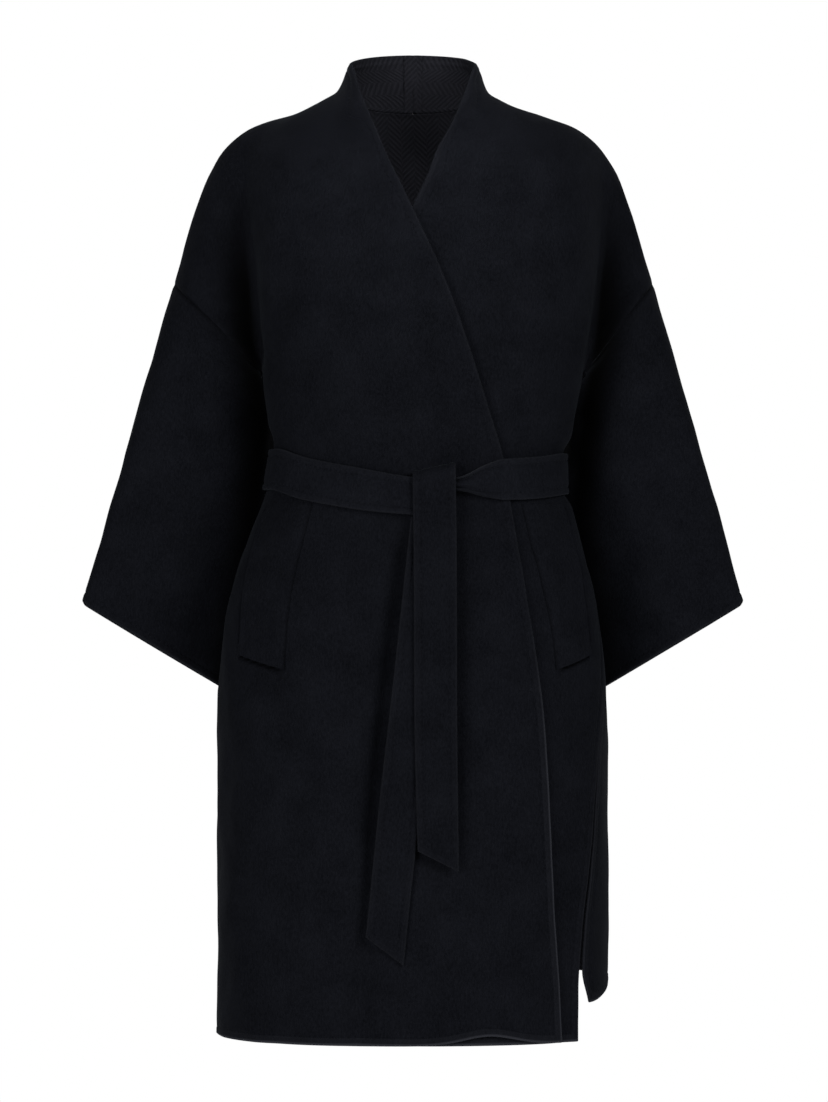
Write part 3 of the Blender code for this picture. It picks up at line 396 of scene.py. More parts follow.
# Finish of the wool
NAP_STRETCH = 0.45        # the tufts are drawn out down the cloth by the inverse of this
TUFTS = (("Detail", 3.0), ("Roughness", 0.62))
MOTTLE_SCALE = 26.0
MOTTLE = (("Detail", 4.0), ("Roughness", 0.6))
TUFT_SHARE, MOTTLE_SHARE = 0.62, 0.38       # how much the tufts and the mottle have of the tone
TONES, INSIDE_TONES = (0.32, 0.68), (0.25, 0.85)    # where the dark colour ends and the light one starts
STITCH_HALF, STITCH_DENT = 0.0011, 1.6      # half width of a stitch, and its depth in heights of the nap
STITCH_SWING, STITCH_LEVEL = 0.8, 0.3       # a stitch and its gap, as a cut-off wave
INSIDE_TUFTS, INSIDE_MOTTLE, INSIDE_LEVEL = 3.6, 1.6, -2.6      # how the nap blurs the inside's weave
STROKE_TONE, STROKE_HEIGHT = 0.7, 0.5       # how much a stroke of the weave shows, and stands out
BUMP_STRENGTH, INSIDE_BUMP, BUMP_HEIGHT = 0.55, 0.50, 0.0006
ROUGHNESS, SPECULAR, SHEEN_ROUGHNESS = 0.94, 0.01, 0.38
SHEEN_TINT = (0.74, 0.86, 1.0, 1.0)

# Studio
FLOOR_THICK, FLOOR_SIDES, FLOOR_ANGLE = 0.03, 128, 40
FLOOR_ROUND, FLOOR_ROUND_STEPS = 0.01, 3
PAPER_DARK, PAPER_LIGHT, PAPER_ROUGHNESS = (0.88, 0.88, 0.88), (0.92, 0.92, 0.92), 0.9
PAPER_SCALE, PAPER_GRAIN = 3.0, (("Detail", 3.0),)
WHITE = (1.0, 1.0, 1.0, 1.0)
SENSOR = 36.0             # height of the camera's sensor in millimetres
FRAME_HEIGHT = 1.102      # height of the picture at the coat's middle
FRAME_CENTRE = 0.001      # its middle, beside the coat's
# Lights: name, kind, place, aim, size (for a spot its angle) and share of the key light's power
LIGHTS = (
    ("key", "AREA", (1.9, -2.5, 0.5), (0.0, 0.0, -0.52), 1.6, 0.98),
    ("fill", "AREA", (-1.7, -2.6, -0.4), (0.0, 0.0, -0.62), 1.8, 0.78),
    ("rear_right", "AREA", (-2.0, 2.2, 0.9), (0.0, 0.0, -0.40), 1.4, 0.30),
    ("rear_left", "AREA", (2.0, 2.2, 0.9), (0.0, 0.0, -0.40), 1.4, 0.30),
    ("neck_light", "SPOT", (0.0, -1.6, 1.2), (0.0, 0.05, -0.085), 0.16, 4.0),
)


# What a user may change
class CoatCloth(bpy.types.PropertyGroup):
    """Sizes and colours of the wool."""

    wall: FloatProperty(
        name="Cloth thickness", description="Wall of the doubled wool",
        default=0.0024, min=0.001, unit="LENGTH")
    crease: FloatProperty(
        name="Crease strength", description="Depth of the finer creases; 1 is as photographed",
        default=1.0, min=0.0)
    band: FloatProperty(
        name="Edge band", description="Width of the turned-in cut edges", default=0.0072, unit="LENGTH")
    stitch: FloatProperty(
        name="Stitch length", description="Length of one hand stitch and its gap",
        default=0.0056, unit="LENGTH")
    relief: FloatProperty(
        name="Stitch depth", description="How far the stitched line sinks", default=0.0007, unit="LENGTH")
    groove: FloatProperty(
        name="Seam groove", description="How far the cloth sinks along a sewn seam",
        default=0.0010, unit="LENGTH")
    nap: FloatProperty(
        name="Nap size", description="Size of the brushed tufts", default=0.0016, unit="LENGTH")
    dark: FloatVectorProperty(
        name="Wool, dark", description="Colour between the tufts", subtype="COLOR", size=3,
        default=(0.00128, 0.0014, 0.00195))
    light: FloatVectorProperty(
        name="Wool, light", description="Colour of the tufts", subtype="COLOR", size=3,
        default=(0.0034, 0.0037, 0.0050))
    inside_dark: FloatVectorProperty(
        name="Inside, dark", description="Ground of the woven inside", subtype="COLOR", size=3,
        default=(0.0041, 0.0042, 0.0053))
    inside_light: FloatVectorProperty(
        name="Inside, light", description="Strokes of the woven inside", subtype="COLOR", size=3,
        default=(0.0066, 0.0067, 0.0084))
    # Colour of the painted highlight along cut edges
    rim: FloatVectorProperty(
        name="Cut edges", description="Colour of the nap that stands out along cut edges",
        subtype="COLOR", size=3,
        default=(0.0130, 0.0135, 0.0165))
    # Colour of the painted shade in folds, sewn lines and pocket mouths
    painted_shade_colour: FloatVectorProperty(
        name="Folds", description="Colour of the nap deep in folds and sewn lines", subtype="COLOR", size=3,
        default=(0.0002, 0.0002, 0.0002))
    # The band's colours are a lighter copy of the coat's wool: painted light
    band_painted_light: FloatProperty(
        name="Band light", description="Colours of the belt's band, as a share of the coat's", default=1.15)
    # How far in from a cut edge the painted highlight reaches
    highlight_width: FloatProperty(
        name="Rim width", description="How far in from a cut edge that nap shows",
        default=0.0022, unit="LENGTH")
    column: FloatProperty(
        name="Herringbone column", description="Width of one column of the inside's weave", default=0.0130,
        unit="LENGTH")
    stroke: FloatProperty(
        name="Herringbone stroke", description="Spacing of the strokes in a column",
        default=0.0056, unit="LENGTH")
    sheen: FloatProperty(
        name="Sheen", description="Light caught by the nap at its edges", default=0.010, min=0.0, max=1.0)


class CoatStudio(bpy.types.PropertyGroup):
    """Floor, light and camera."""

    floor_height: FloatProperty(
        name="Floor height", description="Level on which a wearer would stand", default=-1.36, unit="LENGTH")
    floor_radius: FloatProperty(
        name="Floor radius", description="Radius of the round floor", default=2.6, unit="LENGTH")
    surround: FloatProperty(
        name="Surround light", description="Light of the white surround on the coat", default=0.28, min=0.0)
    key: FloatProperty(
        name="Key light", description="Power of the large front light in watts", default=124.0, min=0.0)
    camera_distance: FloatProperty(
        name="Camera distance", description="Camera to the coat's middle", default=4.5, unit="LENGTH")
    camera_height: FloatProperty(
        name="Camera height", description="Height of the level camera", default=-0.451, unit="LENGTH")


# Tables and curves
def smooth(xs, ys, x):
    """A smooth line through a table that never runs past its values."""
    xs, ys = np.asarray(xs, float), np.asarray(ys, float)
    if xs[0] > xs[-1]:
        xs, ys = xs[::-1], ys[::-1]
    run = np.diff(xs)
    slope = np.diff(ys) / run
    tangent = np.concatenate([slope[:1], np.zeros(len(xs) - 2), slope[-1:]])
    before, after = slope[:-1], slope[1:]
    same_way = before * after > 0
    weight_a, weight_b = 2 * run[1:] + run[:-1], run[1:] + 2 * run[:-1]
    safe_a, safe_b = np.where(same_way, before, 1.0), np.where(same_way, after, 1.0)
    mean = (weight_a + weight_b) / (weight_a / safe_a + weight_b / safe_b)
    tangent[1:-1] = np.where(same_way, mean, 0.0)
    x = np.clip(np.asarray(x, float), xs[0], xs[-1])
    k = np.clip(np.searchsorted(xs, x, side="right") - 1, 0, len(run) - 1)
    t = (x - xs[k]) / run[k]
    near, far = ys[k], ys[k + 1]
    eased = t * t * (3 - 2 * t)
    lean_near = t * (1 - t) ** 2 * run[k] * tangent[k]
    lean_far = t * t * (t - 1) * run[k] * tangent[k + 1]
    return near + (far - near) * eased + lean_near + lean_far


def column(table, columns, name, at):
    """One named column of a table, read at a place in its first column."""
    rows = np.array(table)
    return smooth(rows[:, 0], rows[:, columns.index(name)], at)


def body(name, z):
    """One column of the body's sections at a height."""
    return column(BODY, BODY_COLUMNS, name, z)


def drawn_in(x_sign, z):
    """How far the tied belt draws the cloth in at the side that x_sign points to."""
    on_right = np.asarray(x_sign) < 0
    depth, middle = (np.where(on_right, *pair) for pair in zip(DRAWN_IN[RIGHT], DRAWN_IN[LEFT]))
    return depth * ease((DRAWN_REACH - np.abs(z - middle)) / DRAWN_FADE)


def half_width(x_sign, z):
    """Half width of the body on the side that x_sign points to."""
    full = np.where(np.asarray(x_sign) < 0, body("right", z), body("left", z))
    return full - drawn_in(x_sign, z)


def ease(t):
    """A smooth step from 0 to 1."""
    t = np.clip(t, 0.0, 1.0)
    return t * t * (3 - 2 * t)


def bump(offset):
    """A soft hill, 1 in the middle and almost 0 beyond twice the half width."""
    return np.exp(-2.0 * np.asarray(offset) ** 2)


def graded(start, end, steps, first=1.0, last=1.0):
    """Values from start up to but not including end, closer together at the start or at the end."""
    share = np.linspace(0.0, 1.0, steps, endpoint=False)
    share = share ** first if first > 1 else 1 - (1 - share) ** last
    return start + (end - start) * share


def unit(vectors):
    """Vectors of length 1."""
    return vectors / np.linalg.norm(vectors, axis=-1, keepdims=True)


def travel(grid, axis):
    """Distance travelled along a grid of points from its first row or column."""
    steps = np.linalg.norm(np.diff(grid, axis=axis), axis=-1)
    zero = np.zeros_like(np.take(steps, [0], axis=axis))
    return np.concatenate([zero, np.cumsum(steps, axis=axis)], axis=axis)


def settle(grid, passes=SETTLE_PASSES):
    """Smooths a grid of points, keeping its outer rows and columns in their places."""
    grid = grid.copy()
    for _ in range(passes):
        around = grid[:-2, 1:-1] + grid[2:, 1:-1] + grid[1:-1, :-2] + grid[1:-1, 2:]
        grid[1:-1, 1:-1] = grid[1:-1, 1:-1] / 2 + around / 8
    return grid


# The body below the underarm: rounded-square sections, by the angle from the centre front
def angle_at_x(x, z):
    """The angle on the front half at which the section has the half width x."""
    share = np.clip(np.abs(x) / half_width(x, z), 0.0, 1.0)
    return np.sign(x) * np.arcsin(share ** (SQUARE / 2))


def angle_at_y(side, y, z):
    """The angle, on one side, at which the section has the depth y near the side seam."""
    depth = np.where(np.asarray(y) < 0, body("front", z), body("back", z))
    share = np.abs(y) / depth
    return side * (np.pi / 2 + np.sign(y) * np.arcsin(share ** (SQUARE / 2)))


def fold_depth(x, z, facing):
    """How far the largest folds push the cloth in at a place on the front or back."""
    depth = np.zeros(np.broadcast(x, z).shape)
    for row in FOLDS:
        fold = dict(zip(FOLD_COLUMNS, row))
        along = np.clip((fold["z_top"] - z) / (fold["z_top"] - fold["z_low"]), 0.0, 1.0)
        middle = fold["x_top"] + (fold["x_low"] - fold["x_top"]) * along
        ends = ease((fold["z_top"] - z) / FOLD_FADE) * ease((z - fold["z_low"]) / (2 * FOLD_FADE))
        push = fold["depth"] * ends * bump((x - middle) / fold["half_width"])
        depth = depth + np.where(facing == fold["facing"], push, 0.0)
    return depth


def skin(angle, z, folded=True):
    """Point on the body's section at an angle from the centre front (plus is the wearer's left)."""
    sine, cosine = np.sin(angle), np.cos(angle)
    x = np.sign(sine) * half_width(sine, z) * np.abs(sine) ** (2 / SQUARE)
    depth = np.where(cosine > 0, body("front", z), body("back", z))
    y = -np.sign(cosine) * depth * np.abs(cosine) ** (2 / SQUARE)
    facing = np.where(cosine > 0, FRONT, BACK)
    if folded:
        y = y - facing * fold_depth(x, z, facing) * np.abs(cosine)
    return np.stack(np.broadcast_arrays(x, y, z), axis=-1)


def outward(angles, z):
    """Outward direction, level, of the body's section at angles of one height."""
    run = skin(angles + ANGLE_STEP, z, False) - skin(angles - ANGLE_STEP, z, False)
    return unit(np.stack([run[:, 1], -run[:, 0], np.zeros(len(angles))], axis=-1))


# The body above the underarm: trunk and dropped shoulder, as depth behind the front view
@lru_cache(maxsize=None)
def outline(side, from_neck=False):
    """The shoulder outline on one side as dense points."""
    rows = np.array(OUTLINE)
    step = np.concatenate([[0.0], np.cumsum(np.linalg.norm(np.diff(rows, axis=0), axis=1))])
    start = np.interp(NECK_HALF, rows[:, 0], step) if from_neck else 0.0
    along = np.linspace(start, step[-1], OUTLINE_STEPS)
    line = {name: smooth(step, rows[:, k], along) for k, name in enumerate(OUTLINE_COLUMNS)}
    return np.stack([side * line["half_width"], line["depth"], line["height"]], axis=-1)


def outline_places(side, half_widths):
    """Points of the outline at given half widths."""
    points = outline(side)
    widths = np.abs(points[:, 0])
    return np.stack([np.interp(half_widths, widths, points[:, k]) for k in range(3)], axis=-1)


def from_shoulder(x, z, facing):
    """Distance from the outline in the front view, and the outline's own depth there."""
    gap = np.full(x.shape, np.inf)
    depth = np.zeros(x.shape)
    for side in (RIGHT, LEFT):
        line = outline(side, facing == BACK)
        apart = np.hypot(x[:, None] - line[None, :, 0], z[:, None] - line[None, :, 2])
        closer = apart.min(axis=1) < gap
        gap = np.where(closer, apart.min(axis=1), gap)
        depth = np.where(closer, line[apart.argmin(axis=1), 1], depth)
    return gap, depth


def upper_depth(x, z, facing, valley=VALLEY):
    """Depth of the cloth above the underarm: trunk and upper arm, joined by a soft valley."""
    gap, seam_y = from_shoulder(x, z, facing)
    deep = body("front" if facing == FRONT else "back", z)
    share = np.clip(np.abs(x) / half_width(x, z), 0.0, 1.0)
    trunk = facing * deep * (1 - share ** SQUARE) ** (1 / SQUARE)
    trunk = trunk - facing * fold_depth(x, z, np.full(np.shape(x), facing))
    rise = np.sqrt(1 - (1 - np.clip(gap / TRUNK_REACH, 0.0, 1.0)) ** 2)
    trunk_y = seam_y + (trunk - seam_y) * rise
    across = np.clip(gap / (2 * ARM_HALF), 0.0, 1.0)
    arm_y = seam_y * (1 - across) + facing * ARM_DEPTH[facing] * np.sqrt(1 - (2 * across - 1) ** 2)
    soften = np.sqrt((trunk_y - arm_y) ** 2 + (valley * rise) ** 2)
    return 0.5 * (trunk_y + arm_y + facing * soften)


def arm_shares():
    """Shares of the way from underarm to shoulder, closer together at both ends."""
    return (1 - np.cos(np.pi * np.linspace(0.0, 1.0, ARM_STEPS + 1))) / 2


# Panels
def pocket_share(side, line, z):
    """Where a pocket line (stitched or mouth) lies, as a share of the half width."""
    places = dict(zip(POCKET_COLUMNS, POCKET[side]))
    top, bottom = places[line + "_top"], places[line + "_bottom"]
    return top + (bottom - top) * ease((POCKET_TOP - z) / (POCKET_TOP - POCKET_BOTTOM))


def seam_angle(side, facing, z):
    """Angle of the side seam, or of the slit's cut edge below it, on the front or the back."""
    cut_edge = "_front" if facing == FRONT or z >= SLIT_TOP else "_back"
    return angle_at_y(side, column(SLIT, SLIT_COLUMNS, SIDE_NAME[side] + cut_edge, z), z)


def mouth_way(side, z):
    """Share of the way from the stitched pocket line to the side seam at which the pocket mouth lies."""
    half = half_width(side, z)
    stitched = angle_at_x(side * pocket_share(side, "stitched", z) * half, z)
    mouth = angle_at_x(side * pocket_share(side, "mouth", z) * half, z)
    return (mouth - stitched) / (seam_angle(side, FRONT, z) - stitched)


def front_places():
    """Places of a front's columns, close together at its cut edges."""
    edge, foot, stitched, mouth, seam = FRONT_STOPS
    return np.concatenate([
        graded(edge, foot, EDGE_STEPS, first=EDGE_POWER),
        graded(foot, stitched, CHEST_STEPS),
        graded(stitched, mouth, POCKET_STEPS),
        graded(mouth, mouth + MOUTH_FINE, MOUTH_STEPS),
        graded(mouth + MOUTH_FINE, seam, SIDE_STEPS, last=SIDE_POWER),
        [seam]])


def back_places():
    """Places of the columns of half the back, from the centre to its side edge."""
    centre, foot, _, ridge, seam = BACK_STOPS
    return np.concatenate([graded(centre, foot, NECK_STEPS), graded(foot, ridge, BACK_STEPS),
                           graded(ridge, seam, SIDE_STEPS, last=SIDE_POWER), [seam]])


def levels(hem, slit_steps):
    """Heights of a panel's rows from its hem to the underarm."""
    return np.concatenate([graded(hem, SLIT_TOP, slit_steps, first=HEM_POWER),
                           graded(SLIT_TOP, UNDERARM, JOINED_STEPS), [UNDERARM]])


def front_row(side, places, z):
    """One level row of a front, from its front edge to its side seam."""
    edge = angle_at_x(-side * column(EDGE, EDGE_COLUMNS, "past_centre", z), z)
    stitched = angle_at_x(side * pocket_share(side, "stitched", z) * half_width(side, z), z)
    seam = seam_angle(side, FRONT, z)
    mouth = stitched + (seam - stitched) * mouth_way(side, max(z, POCKET_BOTTOM))
    foot = edge + (stitched - edge) * FOOT_SHARE
    angles = np.interp(places, FRONT_STOPS, (edge, foot, stitched, mouth, seam))
    row = skin(angles, np.full(len(angles), z))
    if side == RIGHT:
        fade = ease((HEM_FRONT + HEM_WAVE_REACH - z) / HEM_WAVE_REACH)
        row[:, 2] += HEM_WAVE * fade * bump((row[:, 0] - HEM_WAVE_X) / HEM_WAVE_HALF)
    return row


def back_row(side, places, z):
    """One row of half the back, from the centre to its side seam."""
    half = half_width(side, z)
    centre, foot, _, ridge, seam = BACK_STOPS
    angles = np.interp(places, (centre, foot, ridge, seam), (
        side * np.pi,
        side * np.pi - angle_at_x(side * NECK_SHARE * half, z),
        side * np.pi - angle_at_x(side * RIDGE_LOW[side] * half, z),
        seam_angle(side, BACK, z)))
    row = skin(angles, np.full(len(angles), z))
    fall = max((SLIT_TOP - z) / (SLIT_TOP - HEM_BACK), 0.0)
    level = HEM_BACK_LEVEL[side]
    beside = -level + (1 + level) * places / seam
    row[:, 2] -= HEM_BACK_DIP * fall ** HEM_BACK_POWER * ease(beside)
    return row


def shoulder_widths(side):
    """Half widths of the shoulder seam's marked places, from the collar's foot to its end."""
    ridge = RIDGE_TOP[side]
    return NECK_HALF, (NECK_HALF + ridge) / 2, ridge, SHOULDER_END


def upper_rows(side, base, top, places, stops, facing):
    """Rows from the underarm to the shoulder, given the lowest and the highest row."""
    before, ridge, seam = stops[2:]
    at_ridge = int(np.searchsorted(places, ridge))
    beside = np.interp(places, (before, ridge, seam), (0, 1, 0))
    start, end = base[at_ridge], top[at_ridge]
    rows = []
    for share in arm_shares()[1:-1]:
        row = base * (1 - share) + top * share
        z = start[2] + (end[2] - start[2]) * share
        ridge_share = RIDGE_LOW[side] + (1 - RIDGE_LOW[side]) * share
        straight = start[0] + (end[0] - start[0]) * share
        row[:, 0] += beside * (side * half_width(side, z) * ridge_share - straight)
        if facing == FRONT:
            true_x = -side * column(EDGE, EDGE_COLUMNS, "past_centre", row[0, 2])
            row[:, 0] += np.interp(places, (0.0, before), (1, 0)) * (true_x - row[0, 0])
        row[:, 1] = upper_depth(row[:, 0], row[:, 2], facing, VALLEY * ease(share / VALLEY_SHARE))
        rows.append(row)
    return np.array(rows + [top])


def collar_ends(side, turn):
    """Top and foot of the collar at a turn from the shoulder (0) to the centre back (a right angle)."""
    top_x, top_z, top_y = OUTLINE[0]
    back_y, back_z = COLLAR_BACK_TOP
    top = np.array([side * top_x * np.cos(turn), top_y + (back_y - top_y) * np.sin(turn),
                    top_z + (back_z - top_z) * np.sin(turn)])
    neck_z = outline_places(side, [NECK_HALF])[0][2]
    foot_x, foot_z = side * NECK_HALF * np.cos(turn), neck_z - NECK_BACK_DROP * np.sin(turn) ** 2
    foot_y = upper_depth(np.array([foot_x]), np.array([foot_z]), BACK)[0]
    return top, np.array([foot_x, foot_y, foot_z])


def collar_rows(side, shares):
    """Half of the stand collar from the shoulder round to the centre back; columns from top to foot."""
    start = outline_places(side, COLLAR_HALF + (NECK_HALF - COLLAR_HALF) * shares)
    flare = start - (start[0] + (start[-1] - start[0]) * shares[:, None])
    rows = []
    for turn in np.linspace(0.0, np.pi / 2, COLLAR_STEPS + 1)[1:]:
        top, foot = collar_ends(side, turn)
        rows.append(top + (foot - top) * shares[:, None] + flare * np.cos(turn))
    return np.array(rows)


def sleeve_ring(side, along, shares, swell):
    """One ring of a sleeve's own section: front half, then back half, from the underarm."""
    def ends(at):
        value = {name: column(SLEEVE, SLEEVE_COLUMNS, name, at) for name in SLEEVE_COLUMNS[1:]}
        outer = np.array([side * value["outer_x"], value["outer_y"], value["outer_z"]])
        angle = np.array([side * np.radians(value["inner_angle"])])
        level = np.array([value["inner_z"]])
        inner = skin(angle, level, False) + outward(angle, level) * value["inner_clear"]
        inner[:, 0] += side * drawn_in(side, level)
        return outer, inner[0], value

    outer, inner, value = ends(along)
    ahead, behind = ends(min(along + AXIS_STEP, 1.0)), ends(max(along - AXIS_STEP, 0.0))
    axis = (ahead[0] + ahead[1]) - (behind[0] + behind[1])
    forward = np.cross(outer - inner, axis)
    forward *= -np.sign(forward[1]) / np.linalg.norm(forward)
    flat = inner + (outer - inner) * shares[:, None]
    front = flat + forward * (value["swell_front"] * swell)[:, None]
    back = flat - forward * (value["swell_back"] * swell)[:, None]
    return np.concatenate([front, back[-2:0:-1]])


# Sheets: points, faces, the move that opens their seams, and distances for edges and seams
def numbered(grid):
    """Vertex numbers of a grid of points."""
    return np.arange(grid.shape[0] * grid.shape[1]).reshape(grid.shape[:2])


def grid_faces(numbers):
    """Four-sided faces of a grid of vertex numbers."""
    corners = (numbers[:-1, :-1], numbers[:-1, 1:], numbers[1:, 1:], numbers[1:, :-1])
    return np.stack(corners, axis=-1).reshape(-1, 4)


def quad_normals(points, faces):
    """Normals of four-sided faces, as long as twice their areas."""
    a, b, c, d = (points[faces[:, k]] for k in range(4))
    return np.cross(c - a, d - b)


def toward(points, neighbours):
    """A move of half the seam gap from each point towards its neighbour inside the panel."""
    return unit(neighbours - points) * (SEAM / 2)


def sheet(name, points, faces, inside, **more):
    """One panel before it gets its wall, turned so that its faces look away from the inside."""
    middles = points[faces].mean(axis=1)
    if (quad_normals(points, faces) * (middles - inside(middles))).sum() < 0:
        faces = faces[:, ::-1]
    return {"name": name, "points": points, "faces": faces, **more}


def body_axis(points):
    """The places on the upright axis level with given points."""
    return points * np.array([0.0, 0.0, 1.0])


def nearest(*distances):
    """The smallest of several distances, and which one it is."""
    stacked = np.stack(np.broadcast_arrays(*distances))
    return stacked.min(axis=0), stacked.argmin(axis=0)


def edge_highlight_share(z):
    """How much of the painted highlight a cut edge shows at a height."""
    high, low = HIGHLIGHT_HEIGHTS
    return HIGHLIGHT_LEAST + (1 - HIGHLIGHT_LEAST) * ease((high - z) / (high - low))


def pocket_grooves(places, main, across):
    """Share of the groove's depth, beside the mouth of a pocket and below its welt; it also sets the painted
    shade there.
    """
    _, _, stitched, mouth, _ = FRONT_STOPS
    at_mouth = int(np.searchsorted(places, mouth))
    share = (places - stitched) / (mouth - stitched)
    foot = POCKET_BOTTOM + (np.clip(share, 0.0, 1.0) - 0.5) * POCKET_TILT
    below = foot - main[..., 2]
    beside = across - across[:, at_mouth: at_mouth + 1]
    level = ease((POCKET_TOP - main[..., 2]) / GROOVE_FADE) * ease((GROOVE_OFF - below) / GROOVE_FADE)
    width = (across[:, at_mouth: at_mouth + 1] - across[:, int(np.searchsorted(places, stitched)), None])
    inside = ease(share * width / GROOVE_FADE) * (beside < GROOVE_HALF)
    return np.maximum(level * bump((beside - MOUTH_OFF) / MOUTH_HALF),
                      inside * bump((below - GROOVE_OFF) / GROOVE_HALF))


def front_sheet(side):
    """One front with its half collar."""
    places = front_places()
    shares = places[: EDGE_STEPS + 1] / FRONT_STOPS[1]
    low = np.array([front_row(side, places, z) for z in levels(HEM_FRONT, FRONT_SLIT_STEPS)])
    widths = np.interp(places, FRONT_STOPS, (COLLAR_HALF,) + shoulder_widths(side))
    top = outline_places(side, widths)
    main = settle(np.concatenate([low, upper_rows(side, low[-1], top, places, FRONT_STOPS, FRONT)]))
    foot = EDGE_STEPS
    collar = collar_rows(side, shares)
    arm_start = len(low)
    strip = settle(np.concatenate([main[arm_start:, : foot + 1], collar]))
    upper = main.shape[0] - arm_start
    main[arm_start:, : foot + 1] = np.where(np.arange(foot + 1)[None, :, None] < foot, strip[:upper],
                                            main[arm_start:, : foot + 1])
    collar = strip[upper:]
    slit = FRONT_SLIT_STEPS
    shift, collar_shift = np.zeros_like(main), np.zeros_like(collar)
    shift[slit:, -1] += toward(main[slit:, -1], main[slit:, -2])
    shift[-1, foot:] += toward(main[-1, foot:], main[-2, foot:])
    collar_shift[:, -1] += toward(collar[:, -1], collar[:, -2])
    collar_shift[-1] += toward(collar[-1], collar[-2])

    across, up = travel(main, 1), travel(main, 0)
    edge_way, row_way = unit(np.gradient(main[:, 0], axis=0)), unit(main[:, 1] - main[:, 0])
    lean = np.linalg.norm(np.cross(edge_way, row_way), axis=1)[:, None]
    rows, columns = np.indices(across.shape)
    from_side = across[:, -1:] - across
    free, which = nearest(across * lean, up, np.where(rows < slit, from_side, FAR))
    run = np.where(which == 1, across, up)
    # Strength of the painted highlight along the cut edges, weaker at the slit
    rim = edge_highlight_share(main[..., 2]) * np.where(which == 2, SLIT_HIGHLIGHT, 1.0)
    groove = pocket_grooves(places, main, across)
    seam = np.minimum(np.where(rows >= slit, from_side, FAR), np.where(columns >= foot, up[-1] - up, FAR))
    collar_across = travel(collar, 1)
    collar_up = travel(np.concatenate([main[-1:, : foot + 1], collar]), 0)[1:]
    collar_seam = np.minimum(collar_across[:, -1:] - collar_across, collar_up[-1] - collar_up)
    collar_up = collar_up + up[-1, : foot + 1]

    def joined(first, second):
        width = first.shape[2] if first.ndim == 3 else 1
        both = np.concatenate([first.reshape(-1, width), second.reshape(-1, width)])
        return both if first.ndim == 3 else both[:, 0]

    numbers = numbered(main)
    more = numbers.size + numbered(collar)
    collar_numbers = np.concatenate([numbers[-1:, : foot + 1], more])
    from_seam = ease((1 - places / FRONT_STOPS[-1]) / LAP_SIDE)
    lap = from_seam * ease((LAP_START - main[..., 2]) / LAP_FADE)
    return sheet(
        "front_" + SIDE_NAME[side], joined(main, collar),
        np.concatenate([grid_faces(numbers), grid_faces(collar_numbers)]), body_axis,
        shift=joined(shift, collar_shift), free=joined(free, collar_across), run=joined(run, collar_up),
        seam=joined(seam, collar_seam), across=joined(across, collar_across), up=joined(up, collar_up),
        rim=joined(rim, edge_highlight_share(collar[..., 2])), groove=joined(groove, np.zeros(collar.shape[:2])),
        facing=FRONT, lap=joined(lap, np.zeros(collar.shape[:2])), grid=main)


def back_sheet():
    """The back, its two halves joined at the centre."""
    places = back_places()
    halves = []
    for side in (RIGHT, LEFT):
        low = np.array([back_row(side, places, z) for z in levels(HEM_BACK, BACK_SLIT_STEPS)])
        turns = np.interp(places[:NECK_STEPS], BACK_STOPS[:2], (np.pi / 2, 0.0))
        neck = np.array([collar_ends(side, turn)[1] for turn in turns])
        widths = np.interp(places[NECK_STEPS:], BACK_STOPS[1:], shoulder_widths(side))
        top = np.concatenate([neck, outline_places(side, widths)])
        halves.append(np.concatenate([low, upper_rows(side, low[-1], top, places, BACK_STOPS, BACK)]))
    main = settle(np.concatenate([halves[0][:, ::-1], halves[1][:, 1:]], axis=1))
    slit = BACK_SLIT_STEPS
    shift = np.zeros_like(main)
    shift[slit:, 0] += toward(main[slit:, 0], main[slit:, 1])
    shift[slit:, -1] += toward(main[slit:, -1], main[slit:, -2])
    shift[-1] += toward(main[-1], main[-2])
    across, up = travel(main, 1), travel(main, 0)
    rows = np.indices(across.shape)[0]
    from_side = np.minimum(across, across[:, -1:] - across)
    free, which = nearest(up, np.where(rows < slit, from_side, FAR))
    seam = np.minimum(np.where(rows >= slit, from_side, FAR), up[-1] - up)
    numbers = numbered(main)
    # Strength of the painted highlight along the cut edges, weaker at the slits
    rim = edge_highlight_share(main[..., 2]) * np.where(which == 1, SLIT_HIGHLIGHT, 1.0)
    return sheet(
        "back", main.reshape(-1, 3), grid_faces(numbers), body_axis,
        shift=shift.reshape(-1, 3), free=free.ravel(), run=np.where(which == 0, across, up).ravel(),
        seam=seam.ravel(), across=(across - across[:, -1:] / 2).ravel(), up=up.ravel(), rim=rim.ravel(),
        facing=BACK, grid=main)


